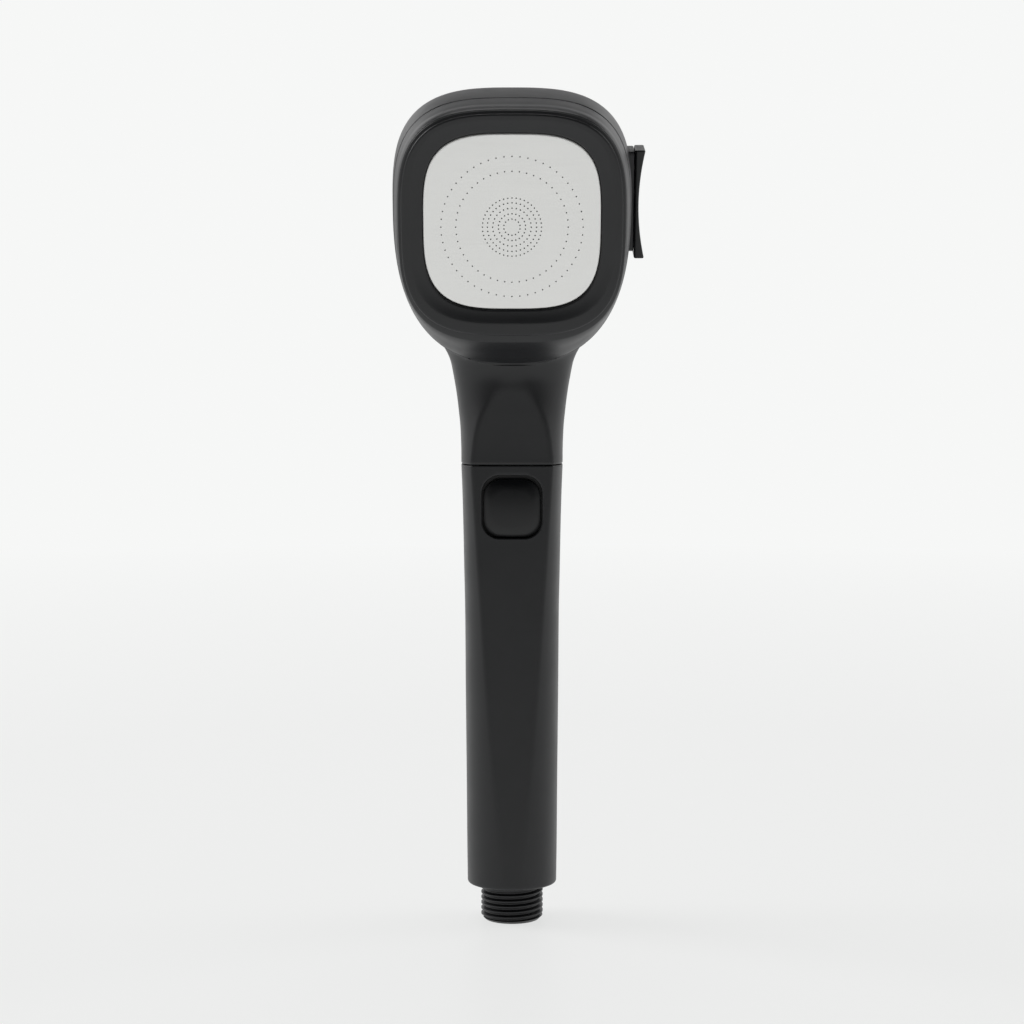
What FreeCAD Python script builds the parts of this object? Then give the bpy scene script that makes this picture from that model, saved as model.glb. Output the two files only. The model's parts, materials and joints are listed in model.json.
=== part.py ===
import FreeCAD, Part
import math
import os
import Sketcher
from FreeCAD import Placement, Rotation, Vector

# Handheld shower head with a stop button and a side slider that selects the spray.
# Millimetres. The handle stands along +Z from the centre of its threaded end, at the origin.
# The spray leaves towards -Y and a little down, and the slider is on the +X side.

# ---------------------------------------------------------------- driving dimensions

SIZES = {
    # thread and nipple
    "thread_crest_radius": 10.48,
    "thread_pitch": 1.814,
    "thread_depth": 1.16,
    "thread_length": 12.6,
    "inlet_bore_radius": 6.5,
    "inlet_counterbore_radius": 7.6,
    "inlet_counterbore_depth": 5.0,
    "nipple_neck_radius": 10.4,
    "nipple_flange_radius": 12.5,
    "nipple_flange_bottom": 15.1,
    "nipple_flange_top": 18.0,
    "nipple_top": 28.0,
    "seal_section": 0.9,
    "seal_rise": 5.0,
    "seal_squeeze": 0.02,
    # handle
    "handle_top": 155.1,
    "shell_wall": 2.2,
    "running_gap": 0.1,
    # water tube and filter
    "tube_radius": 11.2,
    "tube_bore_radius": 9.8,
    "tube_top": 127.0,
    "filter_bottom": 33.0,
    "filter_top": 118.0,
    "filter_cap_height": 4.0,
    "filter_media_radius": 8.8,
    "filter_core_radius": 5.2,
    "filter_core_bore": 4.2,
    # stop button and valve
    "button_width": 18.6,
    "button_height": 18.8,
    "button_corner": 5.6,
    "button_centre_height": 141.0,
    "button_face": 14.6,
    "button_back": 9.6,
    "button_crown": 60.0,
    "button_wall": 1.6,
    "flange_front": 9.8,
    "flange_back": 8.8,
    "stem_face": 12.2,
    "window_width": 20.0,
    "window_bottom": 131.1,
    "window_top": 152.0,
    "stem_radius": 2.5,
    "valve_radius": 4.0,
    "valve_body_radius": 11.1,
    "valve_front": 5.0,
    # waterway pipe
    "pipe_radius": 6.4,
    "pipe_bore_radius": 4.8,
    "pipe_bottom": 151.5,
    "pipe_depth": 30.0,
    # head
    "head_tilt": 14.0,
    "face_forward": 43.0,
    "face_height": 233.5,
    "seam_depth": 16.4,
    "plate_half": 28.3,
    "plate_depth": 1.8,
    "plate_thickness": 0.6,
    "spray_hole_radius": 0.2,
    "dish_half": 32.6,
    "cover_lip": 1.3,
    "chin_reach": 15.2,
    "cover_roof": 4.6,
    "cover_seat": 3.2,
    "seat_ledge": 1.2,
    "head_wall": 2.2,
    "manifold_half": 26.4,
    "manifold_front": 2.9,
    "manifold_back": 7.6,
    "chamber_radius": 11.2,
    # diverter and selector slider
    "spool_radius": 4.0,
    "spool_x": 14.0,
    "spool_depth": 35.0,
    "diverter_front": 8.4,
    "diverter_back": 41.5,
    "diverter_top": -3.1,
    "diverter_bottom": -25.0,
    "centre_port_x": 5.0,
    "centre_port_y": -8.0,
    "supply_port_y": -13.0,
    "outer_port_y": -18.0,
    "port_radius": 1.6,
    "slider_depth": 35.0,
    "slider_length": 35.8,
    "slider_width": 11.0,
    "slider_tip_x": 43.9,
    "slider_waist_x": 41.8,
    "slider_inner_x": 40.2,
    "slider_travel": 1.42,
    "web_half": 1.7,
    "web_thickness": 4.8,
    "foot_inner_x": 34.4,
    "foot_half": 5.5,
    "foot_thickness": 8.0,
    "arm_half": 1.4,
    "arm_thickness": 4.0,
    "track_bottom": -15.7,
    "track_top": 17.8,
    "track_width": 10.0,
    "track_inner_x": 36.6,
    "track_outer_x": 39.9,
}


class Size:
    """A length held twice: its number, and the sheet expression that drives it."""

    def __init__(self, value, text):
        self.value = value
        self.text = text

    @staticmethod
    def of(thing):
        return thing if isinstance(thing, Size) else Size(thing, repr(thing))

    def __add__(self, other):
        other = Size.of(other)
        return Size(self.value + other.value, f"({self.text} + {other.text})")

    def __sub__(self, other):
        other = Size.of(other)
        return Size(self.value - other.value, f"({self.text} - {other.text})")

    def __mul__(self, other):
        other = Size.of(other)
        return Size(self.value * other.value, f"({self.text} * {other.text})")

    def __neg__(self):
        return Size(-self.value, f"(-1 * {self.text})")


def fill_sheet(doc):
    """Puts every driving dimension in the sheet and gives it back by name."""
    sheet = doc.addObject("Spreadsheet::Sheet", "Sizes")
    for row, (name, value) in enumerate(SIZES.items(), start=1):
        sheet.set(f"A{row}", name)
        sheet.set(f"B{row}", str(value))
        sheet.setAlias(f"B{row}", name)
    doc.recompute()
    return {name: Size(value, f"Sizes.{name}") for name, value in SIZES.items()}


doc = FreeCAD.newDocument("shower_head")
S = fill_sheet(doc)
sub_parts = []

# The head's own frame: x across, y up along the face, z out along the spray.
HEAD = Placement(
    Vector(0, -SIZES["face_forward"], SIZES["face_height"]),
    Rotation(Vector(1, 0, 0), 90 + SIZES["head_tilt"]),
)
WORLD = Placement()


# ---------------------------------------------------------------- building blocks

def bind(thing, prop, size):
    """Drives one property of an object from the sheet."""
    size = Size.of(size)
    if "Sizes." in size.text:
        thing.setExpression(prop, size.text)
    else:
        setattr(thing, prop, size.value)


def sub_part(thing, label):
    """Marks an object as a finished sub-part with its own name."""
    thing.Label = label
    sub_parts.append(thing)
    return thing


def cylinder(radius, height, at=(0, 0, 0), frame=WORLD, axis=Vector(0, 0, 1)):
    """A cylinder from the point at, along axis, both in the given frame."""
    rod = doc.addObject("Part::Cylinder", "Rod")
    bind(rod, "Radius", radius)
    bind(rod, "Height", height)
    base = Vector(*[Size.of(value).value for value in at])
    rod.Placement = frame.multiply(Placement(base, Rotation(Vector(0, 0, 1), axis)))
    return rod


def block(width, depth, height, at, frame=WORLD):
    """A box whose lowest corner is the point at, in the given frame."""
    brick = doc.addObject("Part::Box", "Block")
    bind(brick, "Length", width)
    bind(brick, "Width", depth)
    bind(brick, "Height", height)
    base = Vector(*[Size.of(value).value for value in at])
    brick.Placement = frame.multiply(Placement(base, Rotation()))
    return brick


def torus(centre_radius, section, at, frame=WORLD, axis=Vector(0, 0, 1)):
    """An O-ring."""
    ring = doc.addObject("Part::Torus", "Ring")
    bind(ring, "Radius1", centre_radius)
    bind(ring, "Radius2", section)
    base = Vector(*[Size.of(value).value for value in at])
    ring.Placement = frame.multiply(Placement(base, Rotation(Vector(0, 0, 1), axis)))
    return ring


def solid_feature(shape, name="Shaped"):
    """A shape made by Part's own functions, kept as an object of the document."""
    thing = doc.addObject("Part::Feature", name)
    thing.Shape = shape
    return thing


def fused(things):
    union = doc.addObject("Part::MultiFuse", "Union")
    union.Shapes = things
    union.Refine = True
    return union


def cut(base, tools):
    """The base with every tool taken away."""
    for tool in tools:
        remainder = doc.addObject("Part::Cut", "Remainder")
        remainder.Base = base
        remainder.Tool = tool
        base = remainder
    return base


def common(base, tool):
    shared = doc.addObject("Part::Common", "Shared")
    shared.Base = base
    shared.Tool = tool
    return shared


def origin_plane(body, role):
    return next(item for item in body.Origin.OriginFeatures if item.Role == role)


def outline_sketch(body, role, points, name):
    """A closed outline of straight lines whose corners are all driven from the sheet."""
    sketch = body.newObject("Sketcher::SketchObject", name)
    sketch.AttachmentSupport = [(origin_plane(body, role), "")]
    sketch.MapMode = "FlatFace"
    corners = [(Size.of(x), Size.of(y)) for x, y in points]
    places = [Vector(x.value, y.value, 0) for x, y in corners]
    count = len(places)
    for index in range(count):
        sketch.addGeometry(Part.LineSegment(places[index], places[(index + 1) % count]))
    for index in range(count):
        sketch.addConstraint(Sketcher.Constraint("Coincident", index, 2, (index + 1) % count, 1))
    for index, corner in enumerate(corners):
        for kind, size in zip(("DistanceX", "DistanceY"), corner):
            number = sketch.addConstraint(Sketcher.Constraint(kind, index, 1, size.value))
            if "Sizes." in size.text:
                sketch.setExpression(f"Constraints[{number}]", size.text)
    return sketch


def turned(label, points, frame=WORLD, at=(0, 0, 0), axis=Vector(0, 0, 1)):
    """A body of revolution: points are (radius, distance along the axis)."""
    body = doc.addObject("PartDesign::Body", "Body")
    sketch = outline_sketch(body, "XZ_Plane", points, "Profile")
    turn = body.newObject("PartDesign::Revolution", "Turn")
    turn.Profile = sketch
    turn.ReferenceAxis = (sketch, ["V_Axis"])
    turn.Angle = 360
    base = Vector(*[Size.of(value).value for value in at])
    body.Placement = frame.multiply(Placement(base, Rotation(Vector(0, 0, 1), axis)))
    return sub_part(body, label)


def rounded_block(width, height, corner, centre_z, front_y, back_y):
    """A rounded rectangle in the XZ plane carried along Y."""
    brick = Part.makeBox(
        width, back_y - front_y, height, Vector(-width / 2, front_y, centre_z - height / 2)
    )
    upright = [
        edge
        for edge in brick.Edges
        if abs(edge.tangentAt(edge.FirstParameter).y) > 0.99
    ]
    return solid_feature(brick.makeFillet(corner, upright), "RoundedBlock")


# ---------------------------------------------------------------- outlines

def squircle(half_width, up, down, power_up, power_down, z, count=40):
    """A smooth rounded-square wire with its own reach upwards and downwards."""
    points = []
    for index in range(count):
        angle = 2 * math.pi * index / count
        upper = math.sin(angle) >= 0
        power = power_up if upper else power_down
        reach = up if upper else down
        x = half_width * math.copysign(abs(math.cos(angle)) ** (2 / power), math.cos(angle))
        y = reach * math.copysign(abs(math.sin(angle)) ** (2 / power), math.sin(angle))
        points.append(Vector(x, y, z))
    curve = Part.BSplineCurve()
    curve.interpolate(points, PeriodicFlag=True)
    return Part.Wire(curve.toShape())


PLATE_POWER = 3.35


def plate_squircle(half, z):
    """The spray plate's outline: slightly bowed sides and rounded corners."""
    return squircle(half, half, half, PLATE_POWER, PLATE_POWER, z)


def prism(half, front, back):
    """A solid with the spray plate's outline between two depths behind the head's front edge."""
    face = Part.Face(plate_squircle(half, -front))
    return face.extrude(Vector(0, 0, front - back))


def grip_section(z, half, back, front, back_power, front_power, inset=0.0):
    """The handle's and neck's cross-section: round behind and flatter in front."""
    return squircle(
        half - inset, back - inset, front - inset, back_power, front_power, z
    )


# (height, half width, reach back, reach forward, power behind, power in front)
HANDLE_SECTIONS = [
    (12.6, 15.05, 15.05, 15.05, 2.0, 2.0),
    (60.0, 15.45, 15.45, 15.3, 2.0, 2.1),
    (105.0, 15.85, 15.85, 14.8, 2.0, 2.4),
    (133.0, 16.35, 16.35, 14.0, 2.0, 2.9),
    (SIZES["handle_top"], 17.0, 17.0, 13.5, 2.0, 3.4),
]

# the neck goes on from the handle's top section, flares, and leans forward into the head
NECK_SECTIONS = [
    (155.3, 17.0, 17.0, 13.5, 2.0, 3.4),
    (161.5, 17.12, 17.1, 13.5, 2.0, 3.3),
    (168.0, 17.35, 17.2, 13.6, 2.0, 3.2),
    (180.0, 18.7, 17.5, 14.2, 2.0, 2.9),
    (188.0, 20.6, 17.6, 15.2, 2.05, 2.6),
    (196.0, 22.8, 17.2, 18.0, 2.1, 2.4),
    (208.0, 24.0, 15.4, 22.0, 2.2, 2.3),
    (222.0, 22.0, 11.6, 24.0, 2.3, 2.3),
    (234.0, 17.0, 6.6, 24.0, 2.3, 2.3),
]

# (depth behind the front edge, half width, reach up, reach down, power up, power down)
FRONT_SECTIONS = [
    (0.0, 35.2, 34.6, 36.6, 3.2, 3.2),
    (1.2, 36.0, 35.5, 38.4, 3.2, 3.1),
    (8.5, 37.3, 36.5, 44.6, 3.15, 2.75),
    (16.2, 38.2, 37.1, 50.2, 3.1, 2.5),
]
REAR_SECTIONS = [
    (16.5, 38.2, 37.1, 50.3, 3.1, 2.5),
    (26.0, 38.9, 37.6, 50.6, 3.1, 2.5),
    (35.0, 39.2, 37.8, 49.5, 3.1, 2.5),
    (43.0, 36.6, 35.4, 45.6, 2.9, 2.4),
    (48.0, 31.0, 30.2, 39.5, 2.7, 2.3),
    (51.0, 22.0, 21.5, 29.0, 2.5, 2.2),
]


def lofted_grip(sections, inset=0.0):
    return Part.makeLoft([grip_section(*section, inset) for section in sections], True, False)


def lofted_head(sections, inset=0.0):
    wires = [
        squircle(half - inset, up - inset, down - inset, power_up, power_down, -depth)
        for depth, half, up, down, power_up, power_down in sections
    ]
    return Part.makeLoft(wires, True, False)


def in_head(shape):
    """The shape moved from the head's own frame to its place."""
    moved = shape.copy()
    moved.Placement = HEAD.multiply(moved.Placement)
    return moved


# ---------------------------------------------------------------- handle

def inlet_nipple():
    """Threaded end: a turned blank whose thread is a helical groove, so its crests are a true cylinder."""
    crest = SIZES["thread_crest_radius"]
    core = crest - SIZES["thread_depth"]
    pitch, length = SIZES["thread_pitch"], SIZES["thread_length"]
    bore, mouth = SIZES["inlet_bore_radius"], SIZES["inlet_counterbore_radius"]
    mouth_depth = SIZES["inlet_counterbore_depth"]
    neck, flange = SIZES["nipple_neck_radius"], SIZES["nipple_flange_radius"]
    low, high, top = (
        SIZES["nipple_flange_bottom"],
        SIZES["nipple_flange_top"],
        SIZES["nipple_top"],
    )
    spigot = SIZES["tube_bore_radius"] - SIZES["running_gap"]
    chamfer = 1.3
    outline = [
        (mouth, 0),
        (crest - chamfer, 0),
        (crest, chamfer),
        (crest, length),
        (neck, length),
        (neck, low),
        (flange, low),
        (flange, high),
        (spigot, high),
        (spigot, top),
        (bore, top),
        (bore, mouth_depth),
        (mouth, mouth_depth),
    ]
    wire = Part.makePolygon([Vector(r, 0, z) for r, z in outline + outline[:1]])
    blank = Part.Face(wire).revolve(Vector(), Vector(0, 0, 1), 360)
    section = SIZES["seal_section"]
    seal_place = Vector(0, 0, high + SIZES["seal_rise"])
    blank = blank.cut(Part.makeTorus(SIZES["tube_bore_radius"] - section, section, seal_place))
    helix = Part.makeHelix(pitch, length + pitch / 2, core)
    helix.translate(Vector(0, 0, -pitch))
    root_half, mouth_half, clear = 0.1 * pitch, 0.45 * pitch, crest + 0.35
    tooth_gap = Part.makePolygon(
        [
            Vector(core, 0, -pitch - root_half),
            Vector(clear, 0, -pitch - mouth_half),
            Vector(clear, 0, -pitch + mouth_half),
            Vector(core, 0, -pitch + root_half),
            Vector(core, 0, -pitch - root_half),
        ]
    )
    groove = Part.Wire(helix).makePipeShell([tooth_gap], True, True)
    return sub_part(solid_feature(blank.cut(groove), "Nipple"), "inlet_nipple")


def handle_shell():
    """Outer grip with its bottom wall, open top and the window that the button looks out of."""
    grip = solid_feature(lofted_grip(HANDLE_SECTIONS))
    hollow_sections = [(HANDLE_SECTIONS[0][0] + SIZES["shell_wall"] + 0.2, *HANDLE_SECTIONS[0][1:])]
    hollow_sections += HANDLE_SECTIONS[1:-1]
    hollow_sections += [(HANDLE_SECTIONS[-1][0] + 1.0, *HANDLE_SECTIONS[-1][1:])]
    hollow = solid_feature(lofted_grip(hollow_sections, SIZES["shell_wall"]))
    mouth = cylinder(S["nipple_neck_radius"] + S["running_gap"], 10, (0, 0, 10))
    window = rounded_block(
        SIZES["window_width"],
        SIZES["window_top"] - SIZES["window_bottom"],
        6.0,
        (SIZES["window_bottom"] + SIZES["window_top"]) / 2,
        -20.0,
        -9.0,
    )
    return sub_part(cut(grip, [hollow, mouth, window]), "handle_shell")


def water_tube():
    return turned(
        "water_tube",
        [
            (S["tube_bore_radius"], S["nipple_flange_top"]),
            (S["nipple_flange_radius"], S["nipple_flange_top"]),
            (S["nipple_flange_radius"], S["nipple_flange_top"] + 2.0),
            (S["tube_radius"], S["nipple_flange_top"] + 2.0),
            (S["tube_radius"], S["tube_top"]),
            (S["tube_bore_radius"], S["tube_top"]),
        ],
    )


def nipple_oring():
    ring = torus(
        S["tube_bore_radius"] - S["seal_section"],
        S["seal_section"] - S["seal_squeeze"],
        (0, 0, S["nipple_flange_top"] + S["seal_rise"]),
    )
    return sub_part(ring, "nipple_oring")


def inlet_screen():
    """Dirt screen pressed into the bore just above the mouth."""
    disc = cylinder(S["inlet_bore_radius"] - 0.03, 1.6, (0, 0, S["inlet_counterbore_depth"] + 0.4))
    holes = []
    for ring_index in range(1, 5):
        for turn_index in range(6 * ring_index):
            angle = 2 * math.pi * turn_index / (6 * ring_index)
            radius = 1.35 * ring_index
            centre = Vector(radius * math.cos(angle), radius * math.sin(angle), 4.0)
            holes.append(Part.makeCylinder(0.42, 4.0, centre))
    mesh = solid_feature(Part.makeCompound(holes), "ScreenHoles")
    return sub_part(cut(disc, [mesh]), "inlet_screen")


def flow_regulator():
    """Disc with a throttling ring of holes, seated above the screen inside the bore."""
    disc = cylinder(S["inlet_bore_radius"] - 0.03, 3.0, (0, 0, 8.0))
    holes = [cylinder(1.0, 8.0, (0, 0, 6.0))]
    for index in range(6):
        angle = math.pi * index / 3
        holes.append(cylinder(0.8, 8.0, (3.9 * math.cos(angle), 3.9 * math.sin(angle), 6.0)))
    return sub_part(cut(disc, holes), "flow_regulator")


def filter_pieces():
    """Replaceable cartridge: perforated core, fibre sleeve, two end caps and their seals."""
    low = S["filter_bottom"]
    cap = S["filter_cap_height"]
    top = S["filter_top"]
    core_low = low + cap
    core_high = top - cap
    tube = cut(
        cylinder(S["filter_core_radius"], core_high - core_low, (0, 0, core_low)),
        [cylinder(S["filter_core_bore"], core_high - core_low + 2.0, (0, 0, core_low - 1.0))],
    )
    holes = []
    for row in range(7):
        height = core_low.value + 8.0 + 10.0 * row
        for axis in (Vector(1, 0, 0), Vector(0, 1, 0)):
            holes.append(Part.makeCylinder(1.3, 14.0, axis * -7.0 + Vector(0, 0, height), axis))
    slots = solid_feature(Part.makeCompound(holes), "CoreHoles")
    sub_part(cut(tube, [slots]), "filter_core")
    media = cut(
        cylinder(S["filter_media_radius"], core_high - core_low, (0, 0, core_low)),
        [cylinder(S["filter_core_radius"] + 0.03, core_high - core_low + 2.0, (0, 0, core_low - 1.0))],
    )
    sub_part(media, "filter_media")
    seat = S["filter_media_radius"] + 0.5
    turned("filter_lower_cap", [(0, low), (seat, low), (seat, core_low), (0, core_low)])
    turned(
        "filter_upper_cap",
        [
            (S["filter_core_bore"], core_high),
            (seat, core_high),
            (seat, top - 2.6),
            (seat - 1.3, top - 2.6),
            (seat - 1.3, top - 1.0),
            (seat, top - 1.0),
            (seat, top),
            (S["filter_core_bore"], top),
        ],
    )
    ring = torus(seat - 0.35, 0.78, (0, 0, top - 1.8))
    return sub_part(ring, "filter_seal")


def valve_body():
    """Block at the handle's top: water comes up the tube, crosses the stem's bore and leaves upwards."""
    middle = S["button_centre_height"]
    lower = cylinder(S["tube_bore_radius"] - S["running_gap"], 9.0, (0, 0, S["tube_top"] - 7.0))
    upper = cylinder(S["valve_body_radius"], 30.6, (0, 0, S["tube_top"] + 0.1))
    front_cut = block(40, 20, 60, (-20, -20 - SIZES["valve_front"], SIZES["tube_top"] + 0.1))
    boss = cylinder(
        S["valve_radius"] + 2.4, 6.0, (0, -SIZES["valve_front"] + 4.0, middle), axis=Vector(0, -1, 0)
    )
    bore = cylinder(S["valve_radius"] + 0.05, 13.5, (0, 6.5, middle), axis=Vector(0, -1, 0))
    inlet = cylinder(3.6, middle.value - 118.0, (0, 0.5, 118.0))
    outlet = cylinder(3.6, 14.0, (0, 0.5, middle))
    socket = cylinder(S["pipe_radius"] + 0.05, 20.0, (0, 0, S["pipe_bottom"]))
    section = S["seal_section"]
    seal_place = (0, 0, S["tube_top"] - 3.5)
    seal_groove = torus(S["tube_bore_radius"] - section, section, seal_place)
    solid = cut(upper, [front_cut])
    solid = fused([solid, boss, lower])
    sub_part(cut(solid, [bore, inlet, outlet, socket, seal_groove]), "valve_body")
    ring = torus(S["tube_bore_radius"] - section, section - 2 * SIZES["seal_squeeze"], seal_place)
    return sub_part(ring, "tube_oring")


def stop_button():
    """Pillow-shaped button with a hollow back, a boss for the valve stem and a flange that keeps it in."""
    width, height = SIZES["button_width"], SIZES["button_height"]
    middle = SIZES["button_centre_height"]
    cap = rounded_block(
        width, height, SIZES["button_corner"], middle, -SIZES["button_face"], -SIZES["button_back"]
    )
    corner, crown, wall = SIZES["button_corner"], SIZES["button_crown"], SIZES["button_wall"]
    front, stem_face = SIZES["button_face"], SIZES["stem_face"]
    flange = rounded_block(
        width + 2.2, height + 2.6, corner + 1.2, middle, -SIZES["flange_front"], -SIZES["flange_back"]
    )
    dome = solid_feature(Part.makeSphere(crown, Vector(0, crown - front, middle)), "Dome")
    pocket = rounded_block(
        width - 2 * wall, height - 2 * wall, corner - wall, middle, -front + wall + 0.4, -8.0
    )
    inwards = Vector(0, 1, 0)
    boss = cylinder(3.4, 2.6, (0, -stem_face - 1.0, middle), axis=inwards)
    socket = cylinder(S["stem_radius"], 3.0, (0, -stem_face, middle), axis=inwards)
    blank = solid_feature(cap.Shape.fuse(flange.Shape).removeSplitter(), "Blank")
    return sub_part(cut(common(blank, dome), [cut(pocket, [boss]), socket]), "stop_button")


def stop_valve():
    """Stem, its seal, the gland that guides it and the folded rubber boot that returns it."""
    middle = SIZES["button_centre_height"]
    inwards = Vector(0, 1, 0)
    stem_r, valve_r = S["stem_radius"], S["valve_radius"]
    stem_start = (0, -SIZES["stem_face"], middle)
    turned(
        "valve_stem",
        [
            (0, 0),
            (stem_r, 0),
            (stem_r, 8.6),
            (valve_r, 8.6),
            (valve_r, 9.6),
            (valve_r - 1.3, 9.6),
            (valve_r - 1.3, 11.0),
            (valve_r, 11.0),
            (valve_r, 12.0),
            (1.6, 12.0),
            (1.6, 14.6),
            (0, 14.6),
        ],
        at=stem_start,
        axis=inwards,
    )
    sub_part(torus(valve_r - 0.63, 0.64, (0, -1.9, middle), axis=inwards), "stem_oring")
    turned(
        "valve_gland",
        [
            (stem_r + 0.08, 0),
            (valve_r + 2.0, 0),
            (valve_r + 2.0, 0.9),
            (valve_r + 0.02, 0.9),
            (valve_r + 0.02, 2.4),
            (stem_r + 0.08, 2.4),
        ],
        at=(0, -SIZES["valve_front"] - 2.9, middle),
        axis=inwards,
    )
    fold, folds, valley, swell, wall, front = 1.4, 3, 4.65, 0.5, 0.4, -0.3
    outside = [(valley, front)]
    for index in range(folds):
        outside.append((valley + swell, front + (index + 0.5) * fold))
        outside.append((valley, front + (index + 1) * fold))
    inside = [(radius - wall, along) for radius, along in reversed(outside)]
    return turned("button_boot", outside + inside, at=stem_start, axis=inwards)


def neck_sleeve():
    """Sleeve inside the seam that lines the neck up with the handle."""
    low, high = 152.6, 160.0
    section = (low, *HANDLE_SECTIONS[-1][1:])
    outer = Part.Face(grip_section(*section, SIZES["shell_wall"] + 0.15))
    inner = Part.Face(grip_section(*section, SIZES["shell_wall"] + 1.7))
    ring = outer.cut(inner).extrude(Vector(0, 0, high - low))
    return sub_part(solid_feature(ring, "Sleeve"), "neck_sleeve")


def waterway_pipe():
    """Pipe up through the neck with one gentle bend onto the head's own up direction."""
    tilt = math.radians(SIZES["head_tilt"])
    up = HEAD.Rotation.multVec(Vector(0, 1, 0))
    entry = HEAD.multVec(Vector(0, SIZES["diverter_bottom"] + 7.0, -SIZES["pipe_depth"]))
    rise = (entry.y) / up.y
    corner = entry - up * rise
    bend = 40.0
    reach = bend * math.tan(tilt / 2)
    start = Vector(0, 0, SIZES["pipe_bottom"] + 0.1)
    before = Vector(0, corner.y, corner.z - reach)
    after = corner + up * reach
    middle_direction = (Vector(0, 0, 1) + up).normalize()
    centre = before + Vector(0, -bend, 0)
    middle = centre + Vector(0, middle_direction.z, -middle_direction.y) * bend
    path = Part.Wire(
        [
            Part.LineSegment(start, before).toShape(),
            Part.Arc(before, middle, after).toShape(),
            Part.LineSegment(after, entry).toShape(),
        ]
    )

    def tube(radius):
        ring = Part.Wire(Part.makeCircle(radius, start, Vector(0, 0, 1)))
        return path.makePipeShell([ring], True, False)

    pipe = tube(SIZES["pipe_radius"]).cut(tube(SIZES["pipe_bore_radius"]))
    return sub_part(solid_feature(pipe, "Pipe"), "waterway_pipe")


# ---------------------------------------------------------------- head

def rear_shell():
    """Back of the head and the neck in one hollow moulding."""
    head = in_head(lofted_head(REAR_SECTIONS))
    neck = lofted_grip(NECK_SECTIONS)
    outer = head.fuse(neck)
    wall = SIZES["head_wall"]
    inner_sections = [(REAR_SECTIONS[0][0] - 1.0, *REAR_SECTIONS[0][1:])] + REAR_SECTIONS[1:-1]
    inner_head = in_head(lofted_head(inner_sections, wall))
    inner_neck_sections = [(NECK_SECTIONS[0][0] - 1.0, *NECK_SECTIONS[0][1:])] + NECK_SECTIONS[1:-1]
    inner_neck = lofted_grip(inner_neck_sections, wall)
    shell = outer.cut(inner_head).cut(inner_neck)
    chin = REAR_SECTIONS[0][3]
    reach, gap = 60, 0.05
    corner = Vector(-reach, -chin, -SIZES["seam_depth"] - SIZES["running_gap"])
    shell = shell.cut(in_head(Part.makeBox(2 * reach, 2 * reach, reach, corner)))
    low, length = SIZES["track_bottom"] - gap, SIZES["track_top"] - SIZES["track_bottom"] + 2 * gap
    width = SIZES["track_width"] + 2 * gap
    slot = in_head(Part.makeBox(14, length, width, Vector(32, low, -SIZES["slider_depth"] - width / 2)))
    return sub_part(solid_feature(shell.cut(slot), "RearShell"), "rear_shell")


# how far back the front cover's skin reaches, against height on the face
COVER_EDGE = [
    (60.0, SIZES["cover_lip"]),
    (0.0, SIZES["cover_lip"]),
    (-6.0, 1.6),
    (-12.0, 3.1),
    (-18.0, 5.8),
    (-24.0, 9.0),
    (-30.0, 11.9),
    (-36.0, 14.1),
    (-42.0, SIZES["chin_reach"]),
    (-60.0, SIZES["chin_reach"]),
]


def cover_side(gap):
    """Everything in front of the parting line between the front cover and the band behind it."""
    side, ahead = COVER_EDGE[-1][0], 10
    edge = [Vector(side, height, -depth - gap) for height, depth in COVER_EDGE]
    curve = Part.BSplineCurve()
    curve.interpolate(edge[1:-1])
    front = [Vector(side, height, ahead) for height in (COVER_EDGE[-1][0], COVER_EDGE[0][0])]
    outline = [
        Part.LineSegment(edge[0], edge[1]),
        curve,
        Part.LineSegment(edge[-2], edge[-1]),
        Part.LineSegment(edge[-1], front[0]),
        Part.LineSegment(front[0], front[1]),
        Part.LineSegment(front[1], edge[0]),
    ]
    wire = Part.Wire([piece.toShape() for piece in outline])
    return Part.Face(wire).extrude(Vector(-2 * side, 0, 0))


# depths that cutting tools reach to, in front of the head and into its hollow
AHEAD, BEHIND = -2.0, 8.0


def head_front():
    """The head's front as a solid, and the hollow inside it."""
    wall = SIZES["head_wall"]
    first, last = FRONT_SECTIONS[1], FRONT_SECTIONS[-1]
    roof = SIZES["cover_roof"]
    hollow = lofted_head([(roof, *first[1:]), FRONT_SECTIONS[2], (last[0] + 1.0, *last[1:])], wall)
    return lofted_head(FRONT_SECTIONS), hollow


def front_band():
    """Band around the head behind the cover's lip, with the seat that the cover drops into."""
    outer, hollow = head_front()
    opening = prism(SIZES["dish_half"] - SIZES["seat_ledge"], AHEAD, BEHIND)
    seat = prism(SIZES["dish_half"] + 0.05, AHEAD, SIZES["cover_seat"])
    shell = outer.cut(cover_side(0.1)).cut(hollow).cut(opening).cut(seat)
    return sub_part(solid_feature(in_head(shell), "Band"), "front_band")


def front_cover():
    """Front moulding: a dish that slopes down to the spray plate, a flat rim and the chin."""
    outer, hollow = head_front()
    half, inner, seat = SIZES["dish_half"], SIZES["plate_half"], SIZES["cover_seat"]
    rim, dish_start, dish_end = 4.6, 0.25, 1.5
    skin = outer.common(cover_side(0.0)).fuse(prism(half, 0.3, seat))
    slopes = [plate_squircle(inner + rim, -dish_start), plate_squircle(inner, -dish_end)]
    dish = Part.makeLoft(slopes, True, True).fuse(prism(inner + rim, AHEAD, dish_start))
    through = prism(inner - 1.6, AHEAD, BEHIND)
    behind = prism(half - SIZES["seat_ledge"], seat, BEHIND)
    recess = prism(inner + 0.05, AHEAD, SIZES["plate_depth"] + SIZES["plate_thickness"])
    cover = skin.cut(hollow).cut(behind).cut(through).cut(recess).cut(dish)
    for x, y in CLAMP_PLACES:
        cover = cover.cut(Part.makeCylinder(CLAMP_SHAFT, 1.4, Vector(x, y, -seat - 0.1)))
    return sub_part(solid_feature(in_head(cover), "Cover"), "front_cover")


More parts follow.
